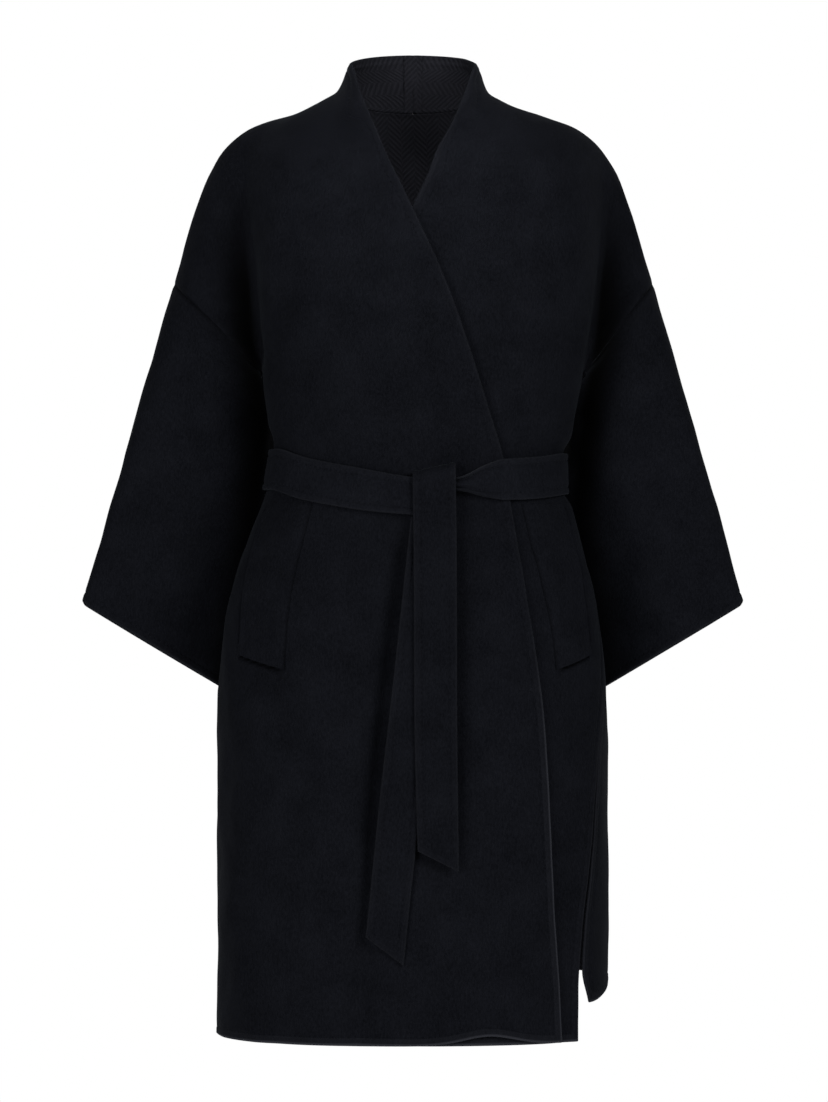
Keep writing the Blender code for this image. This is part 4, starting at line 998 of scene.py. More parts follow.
def sleeve_sheet(side, front, back):
    """A sleeve whose first ring is the armhole of the front and the back."""
    shares = arm_shares()
    swell = np.sin(np.pi * np.linspace(0.0, 1.0, ARM_STEPS + 1))
    start = -(ARM_STEPS + 1)
    front_loop = front["grid"][start:, -1]
    back_loop = back["grid"][start:, 0 if side == RIGHT else -1]
    along_seam = unit(front_loop[-1] - front_loop[0])
    away = side * np.cross([0.0, 1.0, 0.0], along_seam)
    ease_off = away * (UNDERARM_EASE * np.clip(1 - shares / UNDERARM_SHARE, 0.0, 1.0))[:, None]
    loop = np.concatenate([front_loop + ease_off, (back_loop + ease_off)[-2:0:-1]])
    first = sleeve_ring(side, 0.0, shares, swell)
    places = 1 - np.concatenate([graded(0.0, 1.0, SLEEVE_STEPS, first=HEM_POWER), [1.0]])[::-1]
    rings = np.array([sleeve_ring(side, along, shares, swell)
                      + (1 - ease(along / ARMHOLE_BLEND)) * (loop - first) for along in places])
    around = rings.shape[1]
    wrapped = np.concatenate([rings[:, -WRAP:], rings, rings[:, :WRAP]], axis=1)
    last_step = rings[-1] - rings[-2]
    rings[1:-1] = settle(wrapped, SLEEVE_PASSES)[1:-1, WRAP:-WRAP]
    rings[-1] = rings[-2] + last_step
    off_corner = np.linalg.norm(rings[-1] - rings[-1, ARM_STEPS], axis=1)
    corner = CUFF_ROUND * np.clip(1 - off_corner / CUFF_CORNER, 0.0, 1.0) ** 2
    near_cuff = ease((places - 1 + CUFF_FADE) / CUFF_FADE)
    rings += (near_cuff[:, None] * corner)[..., None] * unit(rings[len(rings) // 2] - rings[-1])
    shift = np.zeros_like(rings)
    shift[0] = toward(rings[0], rings[1])
    numbers = numbered(rings)
    closed = np.concatenate([numbers, numbers[:, :1]], axis=1)
    centres = rings.mean(axis=1)
    along, girth = travel(rings, 0), travel(np.concatenate([rings, rings[:, :1]], axis=1), 1)

    def sleeve_axis(points):
        apart = np.linalg.norm(points[:, None] - centres[None], axis=2)
        return centres[apart.argmin(axis=1)]

    inner_seam = np.minimum(girth[:, :-1], girth[:, -1:] - girth[:, :-1])
    return sheet(
        "sleeve_" + SIDE_NAME[side], rings.reshape(-1, 3), grid_faces(closed), sleeve_axis,
        shift=shift.reshape(-1, 3), free=(along[-1] - along).ravel(), run=girth[:, :-1].ravel(),
        seam=np.minimum(along, inner_seam).ravel(), across=girth[:, :-1].ravel(), up=along.ravel(), facing=0,
        rim=edge_highlight_share(rings[..., 2]).ravel(),
        along=np.repeat(places, around), round=np.tile(np.arange(around) / around, len(places)))


def shared_normals(sheets):
    """Normals at every point, the same for points of different panels that meet in a seam."""
    points = np.concatenate([one["points"] for one in sheets])
    counts = np.cumsum([0] + [len(one["points"]) for one in sheets])
    faces = np.concatenate([one["faces"] + start for one, start in zip(sheets, counts)])
    normal = quad_normals(points, faces)
    _, group = np.unique(np.round(points / WELD).astype(np.int64), axis=0, return_inverse=True)
    group = group.reshape(-1)
    total = np.zeros((group.max() + 1, 3))
    for k in range(4):
        np.add.at(total, group[faces[:, k]], normal)
    every = unit(total)[group]
    return [every[start:stop] for start, stop in zip(counts[:-1], counts[1:])]


# Creases, edges and seams
def crease_push(points, normals, facing):
    """How far the finer creases move the cloth out at points of a front or the back."""
    x, z = points[:, 0], points[:, 2]
    push = np.zeros(len(points))
    for row in CREASES:
        crease = dict(zip(FOLD_COLUMNS, row))
        if crease["facing"] != facing:
            continue
        along = (crease["z_top"] - z) / (crease["z_top"] - crease["z_low"])
        middle = crease["x_top"] + (crease["x_low"] - crease["x_top"]) * np.clip(along, 0.0, 1.0)
        ends = ease(along / CREASE_RISE) * ease((1 - along) / CREASE_FALL)
        if crease["z_low"] < HEM_BACK + HEM_CREASE:
            ends = ease(along / CREASE_RISE)
        push -= crease["depth"] * ends * bump((x - middle) / crease["half_width"])
    return push * np.maximum(normals[:, 1] * facing, 0.0)


def sleeve_push(one):
    """How far the sleeve's creases move its cloth out."""
    push = np.zeros(len(one["points"]))
    along, turn = one["along"], one["round"]
    for row in SLEEVE_CREASES:
        crease = dict(zip(SLEEVE_CREASE_COLUMNS, row))
        way = np.array([(crease["along_low"] - crease["along_top"]) * SLEEVE_LENGTH,
                        (crease["round_low"] - crease["round_top"]) * SLEEVE_GIRTH])
        length = np.linalg.norm(way)
        offset = np.stack([(along - crease["along_top"]) * SLEEVE_LENGTH,
                           (turn - crease["round_top"]) * SLEEVE_GIRTH], axis=-1)
        share = offset @ way / length ** 2
        beside = (offset[:, 0] * way[1] - offset[:, 1] * way[0]) / length
        ends = ease(share / CREASE_RISE) * ease((1 - share) / CREASE_FALL)
        push -= crease["depth"] * ends * bump(beside / crease["half_width"])
    return push


def arm_fold(points, normals):
    """How deep a place lies in the fold between body and arm, from 0 to 1, times its shade; it sets the
    fold's sink and its painted shade.
    """
    x, _, z = points.T
    fold = {name: column(ARM_FOLD, ARM_FOLD_COLUMNS, name, z) for name in ARM_FOLD_COLUMNS[1:]}
    beyond = np.abs(x) - np.where(x < 0, fold["right"], fold["left"])
    within = bump(beyond / np.where(beyond > 0, fold["reach"], ARM_FOLD_BODY))
    return fold["shade"] * within * ease((FACING_FRONT - normals[:, 1]) / (2 * FACING_FRONT))


def fold_shade(one):
    """Painted shade in folds, sewn lines and pocket mouths, from 0 to 1."""
    dark = SEAM_SHADE * bump(one["seam"] / SEAM_SHADE_HALF)
    if one["facing"] != BACK:
        above = ease((one["points"][:, 2] - UNDERARM) / ARM_FOLD_SEAM + 0.5) if one["facing"] else 1.0
        dark = np.maximum(dark, above * arm_fold(one["points"], one["normals"]))
    return np.maximum(dark, one["groove"]) if "groove" in one else dark


def unevenness(points):
    """Soft waves of hung cloth."""
    x, y, z = points.T
    height = np.zeros(len(points))
    for row in WAVES:
        wave = dict(zip(WAVE_COLUMNS, row))
        turn = 2 * np.pi * (x - y) / wave["across"] + wave["turn"]
        sway = WAVE_SWAY * np.sin(2 * np.pi * z / wave["up"] + wave["turn"])
        height += wave["height"] * np.sin(turn + sway)
    return height


def cloth_push(one, normals, cloth):
    """How far a panel's cloth stands out from its smooth form: creases, waves, edge bands and seams."""
    points = one["points"]
    if one["facing"]:
        push = crease_push(points, normals, one["facing"])
    else:
        push = sleeve_push(one)
    push = push * cloth.crease + unevenness(points)
    if one["facing"]:
        top, bottom = UNDER_BELT
        z = points[:, 2]
        pressed = ease((top + BELT_PRESS - z) / BELT_PRESS) * ease((z - bottom + BELT_PRESS) / BELT_PRESS)
        push = push * (1 - pressed)
    if one["facing"] == FRONT:
        free_of_seam = ease(one["seam"] / ARM_FOLD_SEAM) * ease((z - UNDERARM) / ARM_FOLD_SEAM)
        push = push - ARM_FOLD_DEPTH * free_of_seam * arm_fold(points, normals)
    push += edge_relief(one["free"], cloth)
    return push - cloth.groove * bump(one["seam"] / (SEAM_SPREAD * cloth.groove))


def edge_relief(distance, cloth):
    """Profile of a turned-in edge: slightly fuller, with a sunk line of stitches along its inner side."""
    fade = ease((distance - BAND_FROM * cloth.band) / (BAND_FADE * cloth.band))
    fuller = BAND_FULL * cloth.relief * (1 - fade)
    return fuller - cloth.relief * bump((distance - cloth.band) / (LINE_HALF * cloth.band))


@lru_cache(maxsize=None)
def body_sheets():
    """The five panels of the body with their normals and painted shade."""
    over, under, back = front_sheet(RIGHT), front_sheet(LEFT), back_sheet()
    sheets = [over, under, back, sleeve_sheet(RIGHT, over, back), sleeve_sheet(LEFT, under, back)]
    for one, normals in zip(sheets, shared_normals(sheets)):
        one["normals"] = normals
        one["shade"] = fold_shade(one)
    return {one["name"]: one for one in sheets}


def hung(name, grooved=True):
    """A panel's middle points as worn, with its creases, edges and seams."""
    cloth = bpy.context.scene.coat_cloth
    one = body_sheets()[name]
    push = cloth_push(one, one["normals"], cloth)
    if name == "front_left":
        push = push - LAP * one["lap"]
    if grooved and "groove" in one:
        push = push - POCKET_GROOVE * one["groove"]
    return one["points"] + one["shift"] + one["normals"] * push[:, None]


# Meshes
def add_mesh(name, points, faces, materials, marks, slots=None):
    """A finished object with its UV map in metres and the distances that its stitches follow."""
    mesh = bpy.data.meshes.new(name)
    mesh.from_pydata(np.asarray(points, float).tolist(), [], [list(map(int, f)) for f in faces])
    for material in materials:
        mesh.materials.append(material)
    if slots is not None:
        mesh.polygons.foreach_set("material_index", np.asarray(slots, np.int32))
    corners = np.empty(len(mesh.loops), np.int32)
    mesh.loops.foreach_get("vertex_index", corners)
    cut = np.stack([marks["across"], marks["up"]], axis=-1)
    uv_map = mesh.uv_layers.new(name="cut")
    uv_map.data.foreach_set("uv", cut[corners].astype(np.float32).ravel())
    edge = mesh.attributes.new("edge", "FLOAT_VECTOR", "POINT")
    # The edge attribute's third value is the strength of the painted highlight along cut edges
    nearest_edge = np.stack([marks["free"], marks["run"], marks["rim"]], axis=-1)
    edge.data.foreach_set("vector", nearest_edge.astype(np.float32).ravel())
    # The shade attribute holds the painted shade in folds, sewn lines and pocket mouths
    dark = mesh.attributes.new("shade", "FLOAT", "POINT")
    dark.data.foreach_set("value", np.asarray(marks["shade"], np.float32))
    mesh.polygons.foreach_set("use_smooth", np.ones(len(mesh.polygons), bool))
    mesh.validate()
    mesh.update()
    piece = bpy.data.objects.new(name, mesh)
    bpy.context.scene.collection.objects.link(piece)
    return piece


def shell(name, points, normals, one, thick, materials, inner_material=1):
    """Closed shell of cloth round a panel's middle points: outer skin, rounded rim and inner skin."""
    faces = one["faces"]
    count = len(points)
    thick = np.broadcast_to(thick, count)[:, None]
    edges = np.concatenate([faces[:, [k, (k + 1) % 4]] for k in range(4)])
    owners = np.tile(np.arange(len(faces)), 4)
    _, first, uses = np.unique(np.sort(edges, axis=1), axis=0, return_index=True, return_counts=True)
    rim = edges[first[uses == 1]]
    face_normals = unit(quad_normals(points, faces))[owners[first[uses == 1]]]
    away = unit(np.cross(points[rim[:, 1]] - points[rim[:, 0]], face_normals))
    out = np.zeros_like(points)
    np.add.at(out, rim[:, 0], away)
    np.add.at(out, rim[:, 1], away)
    loop = np.unique(rim)
    cut_edge = (one["free"][loop] < WELD)[:, None]
    crown = points[loop] + unit(out[loop]) * cut_edge * thick[loop] * RIM_CROWN
    place = np.zeros(count, int)
    place[loop] = 2 * count + np.arange(len(loop))
    outer, inner = points + normals * thick / 2, points - normals * thick / 2
    a, b = rim.T
    quads = np.concatenate([faces, faces[:, ::-1] + count,
                            np.stack([b, a, place[a], place[b]], axis=-1),
                            np.stack([place[b], place[a], a + count, b + count], axis=-1)])
    slots = np.zeros(len(quads), np.int32)
    slots[len(faces): 2 * len(faces)] = inner_material
    keys = ("across", "up", "free", "run", "rim", "shade")
    marks = {key: np.concatenate([one[key], one[key], one[key][loop]]) for key in keys}
    return add_mesh(name, np.concatenate([outer, inner, crown]), quads, materials, marks, slots)


def place_piece(piece, node, stands_for=True):
    """Attaches a finished cloth piece to the root body and hides the part that it stands for."""
    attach(piece, "root")
    if stands_for:
        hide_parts(node)


# Belt strips
def belt_strip(name, middles, ups, outs, halves, walls, materials, cloth, bunch=None, ends=(True, True)):
    """Closed strip of doubled cloth with rounded edges and stitched edge bands, along its middle points."""
    inset = np.array(STRIP_INSETS)
    face = np.concatenate([inset - BELT_HALF, (BELT_HALF - inset)[-2::-1]]) / BELT_HALF
    depth = np.concatenate([inset, inset[-2::-1]])
    across = np.concatenate([face, face[-2:0:-1]])
    facing = np.concatenate([np.ones(len(face)), -np.ones(len(face) - 2)])
    from_edge = np.concatenate([depth, depth[-2:0:-1]])
    facing[[0, len(face) - 1]] = 0.0
    length = travel(middles[:, None], 0)[:, 0]
    bunch = np.zeros(len(middles)) if bunch is None else bunch
    pleat = column(PLEATS, PLEAT_COLUMNS, "height", across)
    knot_highlight = np.clip(bunch / BUNCH, 0.0, 1.0)[:, None] * (across > KNOT_HIGHLIGHT_FROM)
    rows, free = [], []
    for k, middle in enumerate(middles):
        half_wall = walls[k] / 2
        end_gap = min(length[k] if ends[0] else FAR, length[-1] - length[k] if ends[1] else FAR)
        round_edge = np.sqrt(1 - (1 - np.clip(from_edge / half_wall, 0.0, 1.0)) ** 2)
        round_end = np.sqrt(1 - (1 - np.clip((end_gap + END_LEAST) / half_wall, 0.0, 1.0)) ** 2)
        distance = np.minimum(from_edge, end_gap)
        stand = half_wall * round_edge * round_end + edge_relief(distance, cloth) * round_edge
        pleats = bunch[k] * pleat * round_edge
        rows.append(middle + ups[k] * (across * halves[k])[:, None]
                    + outs[k] * (facing * stand + pleats)[:, None])
        free.append(distance)
    points, free = np.array(rows), np.array(free)
    numbers = numbered(points)
    closed = np.concatenate([numbers, numbers[:, :1]], axis=1)
    faces = [tuple(f) for f in grid_faces(closed)] + [tuple(numbers[0][::-1]), tuple(numbers[-1])]
    up_way = np.repeat(length[:, None], points.shape[1], axis=1)
    flat_across = np.tile(across * BELT_HALF, (len(middles), 1))
    # Painted highlight along the belt's edges, stronger on its upper edge where it bunches into the knot
    rim = BELT_HIGHLIGHT + (KNOT_HIGHLIGHT - BELT_HIGHLIGHT) * knot_highlight
    marks = {"across": flat_across.ravel(), "up": up_way.ravel(), "free": free.ravel(), "run": up_way.ravel(),
             "rim": rim.ravel(), "shade": np.zeros(free.size)}
    return face_out(add_mesh(name, points.reshape(-1, 3), faces, materials, marks))


def face_out(piece):
    """Turns a closed piece's faces outwards if they all look in."""
    mesh = piece.data
    mesh.calc_loop_triangles()
    points = np.array([v.co[:] for v in mesh.vertices])
    corners = points[np.array([t.vertices[:] for t in mesh.loop_triangles])]
    volume = (corners[:, 0] * np.cross(corners[:, 1], corners[:, 2])).sum()
    if volume < 0:
        mesh.flip_normals()
    return piece


def band_lines(wall_cloth):
    """Middle line, directions and sizes of the band round the waist."""
    places = np.linspace(0.0, 1.0, BELT_STEPS + 1)
    values = {name: column(BELT, BELT_COLUMNS, name, places) for name in BELT_COLUMNS[1:]}
    z = values["z_mid"]
    start, end = angle_at_x(BELT_LEFT_END, z[0]), angle_at_x(BELT_RIGHT_END, z[-1]) + 2 * np.pi
    angles = start + (end - start) * places
    high = skin(angles, z + values["half_height"], False)
    low = skin(angles, z - values["half_height"], False)
    ups = unit(high - low)
    out = outward(angles, z)
    out = unit(out - ups * (out * ups).sum(axis=1, keepdims=True))
    middles = (high + low) / 2 + out * (wall_cloth / 2 + values["lift"] + values["wall"] / 2)[:, None]
    return middles, ups, out, values["half_height"], values["wall"]


def tail_lines(table, heights, stand_offs, slant, wall_cloth, tilt=None):
    """Middle line, directions and half widths of a hanging belt tail."""
    x = column(table, TAIL_COLUMNS, "x_mid", heights)
    middles = skin(angle_at_x(x, heights), heights, False)
    middles[:, 1] -= wall_cloth / 2 + stand_offs
    half = column(table, TAIL_COLUMNS, "half_width", heights)
    length = travel(middles[:, None], 0)[:, 0]
    drop = -slant * (length / length[-1]) ** END_POWER
    drop = drop if tilt is None else drop + tilt
    across = np.stack([np.ones(len(x)), np.zeros(len(x)), drop / (2 * half)], axis=-1)
    out = unit(np.cross(np.gradient(middles, axis=0), across))
    return middles, across, out, half


# Finishes
def new_material(name):
    """An empty node material with its shader."""
    material = bpy.data.materials.new(name)
    material.use_nodes = True
    return material, material.node_tree, material.node_tree.nodes["Principled BSDF"]


def add_node(tree, kind, inputs=(), **settings):
    """A node with its settings; inputs are (socket, value or output socket)."""
    made = tree.nodes.new(kind)
    for key, value in settings.items():
        setattr(made, key, value)
    for socket, value in inputs:
        if isinstance(value, bpy.types.NodeSocket):
            tree.links.new(value, made.inputs[socket])
        else:
            made.inputs[socket].default_value = value
    return made


def calc(tree, operation, a, b=None, c=None):
    """The output of a Math node."""
    inputs = [(k, value) for k, value in enumerate((a, b, c)) if value is not None]
    return add_node(tree, "ShaderNodeMath", inputs, operation=operation).outputs[0]


def ramp(tree, factor, low, high, low_at=0.0, high_at=1.0):
    """A colour between two, by a factor."""
    made = add_node(tree, "ShaderNodeValToRGB", [("Fac", factor)])
    first, last = made.color_ramp.elements
    first.position, last.position = low_at, high_at
    first.color, last.color = (*low, 1.0), (*high, 1.0)
    return made.outputs["Color"]


def blend(tree, share, colour, other):
    """A colour that turns into another, fixed one by a share."""
    mixed = add_node(tree, "ShaderNodeMix", data_type="RGBA")
    tree.links.new(share, mixed.inputs["Factor"])
    tree.links.new(colour, mixed.inputs[6])
    mixed.inputs[7].default_value = (*other, 1.0)
    return mixed.outputs[2]


def noise(tree, place, scale, settings):
    """Soft noise at a place."""
    inputs = [("Vector", place), ("Scale", scale), *settings]
    return add_node(tree, "ShaderNodeTexNoise", inputs).outputs["Fac"]


def nap_height(tree, cloth):
    """Height of the brushed nap: fine tufts, drawn out down the cloth, over a soft mottle."""
    place = add_node(tree, "ShaderNodeTexCoord").outputs["Object"]
    brushed = add_node(tree, "ShaderNodeMapping", [("Vector", place), ("Scale", (1.0, 1.0, NAP_STRETCH))])
    return noise(tree, brushed.outputs[0], 1.0 / cloth.nap, TUFTS), noise(tree, place, MOTTLE_SCALE, MOTTLE)


def edge_places(tree):
    """Distance to the nearest cut edge, way along it and strength of the painted highlight along it."""
    edge = add_node(tree, "ShaderNodeAttribute", attribute_name="edge").outputs["Vector"]
    return tuple(add_node(tree, "ShaderNodeSeparateXYZ", [("Vector", edge)]).outputs)


def painted_edge_highlight(tree, edge, colour, cloth):
    """A colour with a painted highlight along cut edges and over turned-in edges."""
    distance, _, strength = edge
    near = calc(tree, "SUBTRACT", 1.0, calc(tree, "DIVIDE", distance, cloth.highlight_width))
    band = calc(tree, "MULTIPLY", calc(tree, "LESS_THAN", distance, BAND_HIGHLIGHT_REACH * cloth.band), BAND_HIGHLIGHT)
    share = calc(tree, "MULTIPLY", calc(tree, "MAXIMUM", near, band), strength)
    return blend(tree, share, colour, cloth.rim)


def shaded(tree, colour, cloth):
    """A colour with painted shade in folds, sewn lines and pocket mouths."""
    dark = add_node(tree, "ShaderNodeAttribute", attribute_name="shade").outputs["Fac"]
    return blend(tree, dark, colour, cloth.painted_shade_colour)


def stitch_height(tree, edge, cloth):
    """Dents of the hand stitches that hold the turned-in edges."""
    distance, along, _ = edge
    off_line = calc(tree, "ABSOLUTE", calc(tree, "SUBTRACT", distance, cloth.band))
    on_line = calc(tree, "SUBTRACT", 1.0, calc(tree, "DIVIDE", off_line, STITCH_HALF))
    on_line = calc(tree, "MAXIMUM", on_line, 0.0)
    beat = calc(tree, "SINE", calc(tree, "MULTIPLY", along, 2 * np.pi / cloth.stitch))
    dash = calc(tree, "MAXIMUM", calc(tree, "MULTIPLY_ADD", beat, STITCH_SWING, STITCH_LEVEL), 0.0)
    return calc(tree, "MULTIPLY", on_line, dash)


def finish_cloth(tree, shader, cloth, colour, height, strength):
    """Links a wool's colour and relief, and sets what is the same all over the coat."""
    tree.links.new(colour, shader.inputs["Base Color"])
    inputs = [("Height", height), ("Strength", strength), ("Distance", BUMP_HEIGHT)]
    relief = add_node(tree, "ShaderNodeBump", inputs)
    tree.links.new(relief.outputs["Normal"], shader.inputs["Normal"])
    shader.inputs["Roughness"].default_value = ROUGHNESS
    shader.inputs["Specular IOR Level"].default_value = SPECULAR
    shader.inputs["Sheen Weight"].default_value = cloth.sheen
    shader.inputs["Sheen Roughness"].default_value = SHEEN_ROUGHNESS
    shader.inputs["Sheen Tint"].default_value = SHEEN_TINT


def wool_material(cloth, name, light):
    """Brushed blue-black wool with hand-stitched edges, its colours times a share of light, which is painted
    light on the belt's band; its colour carries a painted highlight along cut edges and painted shade in
    folds, sewn lines and pocket mouths.
    """
    material, tree, shader = new_material(name)
    tufts, mottle = nap_height(tree, cloth)
    tone = calc(tree, "MULTIPLY_ADD", mottle, MOTTLE_SHARE, calc(tree, "MULTIPLY", tufts, TUFT_SHARE))
    colour = ramp(tree, tone, light * cloth.dark, light * cloth.light, *TONES)
    edge = edge_places(tree)
    colour = shaded(tree, painted_edge_highlight(tree, edge, colour, cloth), cloth)
    height = calc(tree, "MULTIPLY_ADD", stitch_height(tree, edge, cloth), -STITCH_DENT, tufts)
    finish_cloth(tree, shader, cloth, colour, height, BUMP_STRENGTH)
    return material


def inside_material(cloth):
    """Woven inside of the doubled cloth: a plain tonal herringbone."""
    material, tree, shader = new_material("wool_herringbone")
    place = add_node(tree, "ShaderNodeUVMap", uv_map="cut").outputs["UV"]
    across, up, _ = add_node(tree, "ShaderNodeSeparateXYZ", [("Vector", place)]).outputs
    zigzag = calc(tree, "PINGPONG", across, cloth.column)
    broken = calc(tree, "FLOOR", calc(tree, "DIVIDE", across, cloth.column))
    slide = calc(tree, "MULTIPLY", calc(tree, "PINGPONG", broken, 1.0), 0.5 * cloth.stroke)
    climb = calc(tree, "ADD", calc(tree, "ADD", up, zigzag), slide)
    beat = calc(tree, "SINE", calc(tree, "MULTIPLY", climb, 2 * np.pi / cloth.stroke))
    tufts, mottle = nap_height(tree, cloth)
    fuzzy = calc(tree, "MULTIPLY_ADD", mottle, INSIDE_MOTTLE, INSIDE_LEVEL)
    fuzzy = calc(tree, "MULTIPLY_ADD", tufts, INSIDE_TUFTS, fuzzy)
    strokes = calc(tree, "MULTIPLY_ADD", beat, STROKE_TONE, fuzzy)
    strokes = calc(tree, "MULTIPLY_ADD", strokes, 0.5, 0.5)
    colour = ramp(tree, strokes, cloth.inside_dark, cloth.inside_light, *INSIDE_TONES)
    height = calc(tree, "MULTIPLY_ADD", beat, STROKE_HEIGHT, tufts)
    finish_cloth(tree, shader, cloth, colour, height, INSIDE_BUMP)
    return material


def cloth_materials(cloth, name="wool_nap", light=1.0):
    """The outside and inside finishes, made once."""
    outside = bpy.data.materials.get(name) or wool_material(cloth, name, light)
    inside = bpy.data.materials.get("wool_herringbone") or inside_material(cloth)
    return outside, inside


def add_panel(name, cloth):
    """The shell of one panel of the body."""
    one = body_sheets()[name]
    piece = shell(name + "_cloth", hung(name), one["normals"], one, cloth.wall, cloth_materials(cloth))
    place_piece(piece, name)


# Operators, one for each group of like pieces
class COAT_OT_back(bpy.types.Operator):
    """Adds the back panel"""

    bl_idname = "coat.back"
    bl_label = "Back"

    def execute(self, context):
        add_panel("back", context.scene.coat_cloth)
        return {"FINISHED"}


class COAT_OT_fronts(bpy.types.Operator):
    """Adds both fronts with their half collars"""

    bl_idname = "coat.fronts"
    bl_label = "Fronts"

    def execute(self, context):
        for side in (RIGHT, LEFT):
            add_panel("front_" + SIDE_NAME[side], context.scene.coat_cloth)
        return {"FINISHED"}


class COAT_OT_sleeves(bpy.types.Operator):
    """Adds both sleeves"""

    bl_idname = "coat.sleeves"
    bl_label = "Sleeves"

    def execute(self, context):
        for side in (RIGHT, LEFT):
            add_panel("sleeve_" + SIDE_NAME[side], context.scene.coat_cloth)
        return {"FINISHED"}


def bilinear(grid, rows, columns):
    """A grid of points read at places between its rows and columns."""
    low_row, low_column = np.floor(rows).astype(int), np.floor(columns).astype(int)
    low_row = np.clip(low_row, 0, grid.shape[0] - 2)
    low_column = np.clip(low_column, 0, grid.shape[1] - 2)
    down, over = (rows - low_row)[..., None], (columns - low_column)[..., None]
    first = grid[low_row, low_column] * (1 - over) + grid[low_row, low_column + 1] * over
    second = grid[low_row + 1, low_column] * (1 - over) + grid[low_row + 1, low_column + 1] * over
    return first * (1 - down) + second * down


def welt_sheet(side, cloth):
    """A pocket welt laid on its front, tapered down to the stitched line."""
    name = "front_" + SIDE_NAME[side]
    front = body_sheets()[name]
    shape = front["grid"].shape
    size = shape[0] * shape[1]
    ground = hung(name, False)[:size].reshape(shape)
    normals = front["normals"][:size].reshape(shape)
    places, heights = front_places(), levels(HEM_FRONT, FRONT_SLIT_STEPS)
    share = ease(np.linspace(0.0, 1.0, WELT_STEPS + 1))
    drop = 1 - ease(np.linspace(0.0, 1.0, WELT_ROWS + 1))
    across, down = np.meshgrid(share, drop)
    bottom = POCKET_BOTTOM + (across - 0.5) * POCKET_TILT
    z = POCKET_TOP + (bottom - POCKET_TOP) * down
    rows = np.interp(z, heights, np.arange(len(heights)))
    _, _, stitched, mouth, _ = FRONT_STOPS
    place = stitched + (mouth - stitched) * across
    columns = np.interp(place, places, np.arange(len(places)))
    points, normals = bilinear(ground, rows, columns), unit(bilinear(normals, rows, columns))
    width, length = travel(points, 1), travel(points, 0)
    sewn = np.minimum(width / WELT_TAPER_WIDTH, (length[-1] - length) / WELT_TAPER_TOP)
    thick = cloth.wall * (WELT_TAPER + (WELT_FULL - WELT_TAPER) * ease(sewn))
    free = width[:, -1:] - width
    lift = WELT_LIFT * (1 - ease(length / WELT_LIFT_HEIGHT))
    lift = lift * (WELT_LIFT_LEAST + (1 - WELT_LIFT_LEAST) * across)
    numbers = numbered(points)
    relief = edge_relief(free, cloth) * thick / cloth.wall
    lifted = points + normals * (cloth.wall / 2 + SEAM + thick / 2 + relief + lift)[..., None]
    # The welt's shade is painted shade along its stitched line
    one = sheet("pocket_welt_" + SIDE_NAME[side], lifted.reshape(-1, 3), grid_faces(numbers), body_axis,
                free=free.ravel(), run=length.ravel(),
                across=width.ravel(), up=length.ravel(), rim=np.zeros(free.size),
                shade=(WELT_SHADE * bump(width / WELT_SHADE_HALF)).ravel())
    return one, normals.reshape(-1, 3), thick.ravel()


class COAT_OT_welts(bpy.types.Operator):
    """Adds the slanting pocket welts"""

    bl_idname = "coat.welts"
    bl_label = "Pocket welts"

    def execute(self, context):
        cloth = context.scene.coat_cloth
        outside, _ = cloth_materials(cloth)
        for side in (RIGHT, LEFT):
            one, normals, thick = welt_sheet(side, cloth)
            piece = shell(one["name"] + "_cloth", one["points"], normals, one, thick, (outside,), 0)
            place_piece(piece, one["name"])
        return {"FINISHED"}


def add_tail(node, lines, finish, cloth):
    """The strip of one hanging belt tail along its lines."""
    walls = np.full(len(lines[0]), BELT_WALL)
    piece = belt_strip(node + "_cloth", *lines, walls, finish, cloth, None, (False, True))
    place_piece(piece, node)


class COAT_OT_belt(bpy.types.Operator):
    """Adds the tied belt: band, over tail and under tail"""

    bl_idname = "coat.belt"
    bl_label = "Belt"

    def execute(self, context):
        cloth = context.scene.coat_cloth
        finish = (cloth_materials(cloth)[0],)
        # The band gets a lighter copy of the wool: painted light
        band_finish = (cloth_materials(cloth, "belt_nap_painted_light", cloth.band_painted_light)[0],)
        middles, ups, out, half, wall = band_lines(cloth.wall)
        bunch = BUNCH * np.clip((BELT_HALF - half) / BELT_HALF, 0.0, 1.0)
        band = belt_strip("belt_band_cloth", middles, ups, out, half, wall, band_finish, cloth, bunch,
                          (False, False))
        place_piece(band, "belt_band")

        hang = np.linspace(HOOK_LEVEL, OVER_TAIL[-1][0], TAIL_STEPS + 1)
        front = column(OVER_TAIL, TAIL_COLUMNS, "stand_off", hang)
        turn = np.linspace(0.0, np.pi, HOOK_STEPS + 1)[:-1]
        radius = (front[0] - HOOK_BACK) / 2
        heights = np.concatenate([[HOOK_LOW], HOOK_LEVEL + radius * np.sin(turn), hang])
        stand_offs = np.concatenate([[HOOK_BACK], HOOK_BACK + radius * (1 - np.cos(turn)), front])
        tilt = HOOK_TILT * ease((heights - HOOK_LEVEL + HOOK_FADE) / HOOK_FADE)
        lines = tail_lines(OVER_TAIL, heights, stand_offs, OVER_TAIL_SLANT, cloth.wall, tilt)
        add_tail("belt_tail_over", lines, finish, cloth)

        heights = np.linspace(UNDER_TAIL[0][0], UNDER_TAIL[-1][0], TAIL_STEPS + 1)
        stand_offs = column(UNDER_TAIL, TAIL_COLUMNS, "stand_off", heights)
        lines = tail_lines(UNDER_TAIL, heights, stand_offs, UNDER_TAIL_SLANT, cloth.wall)
        add_tail("belt_tail_under", lines, finish, cloth)
        return {"FINISHED"}


def behind_collar(points):
    """Places behind the collar, so that the seam's faces look to the neck."""
    return points + np.array([0.0, 1.0, 0.0])


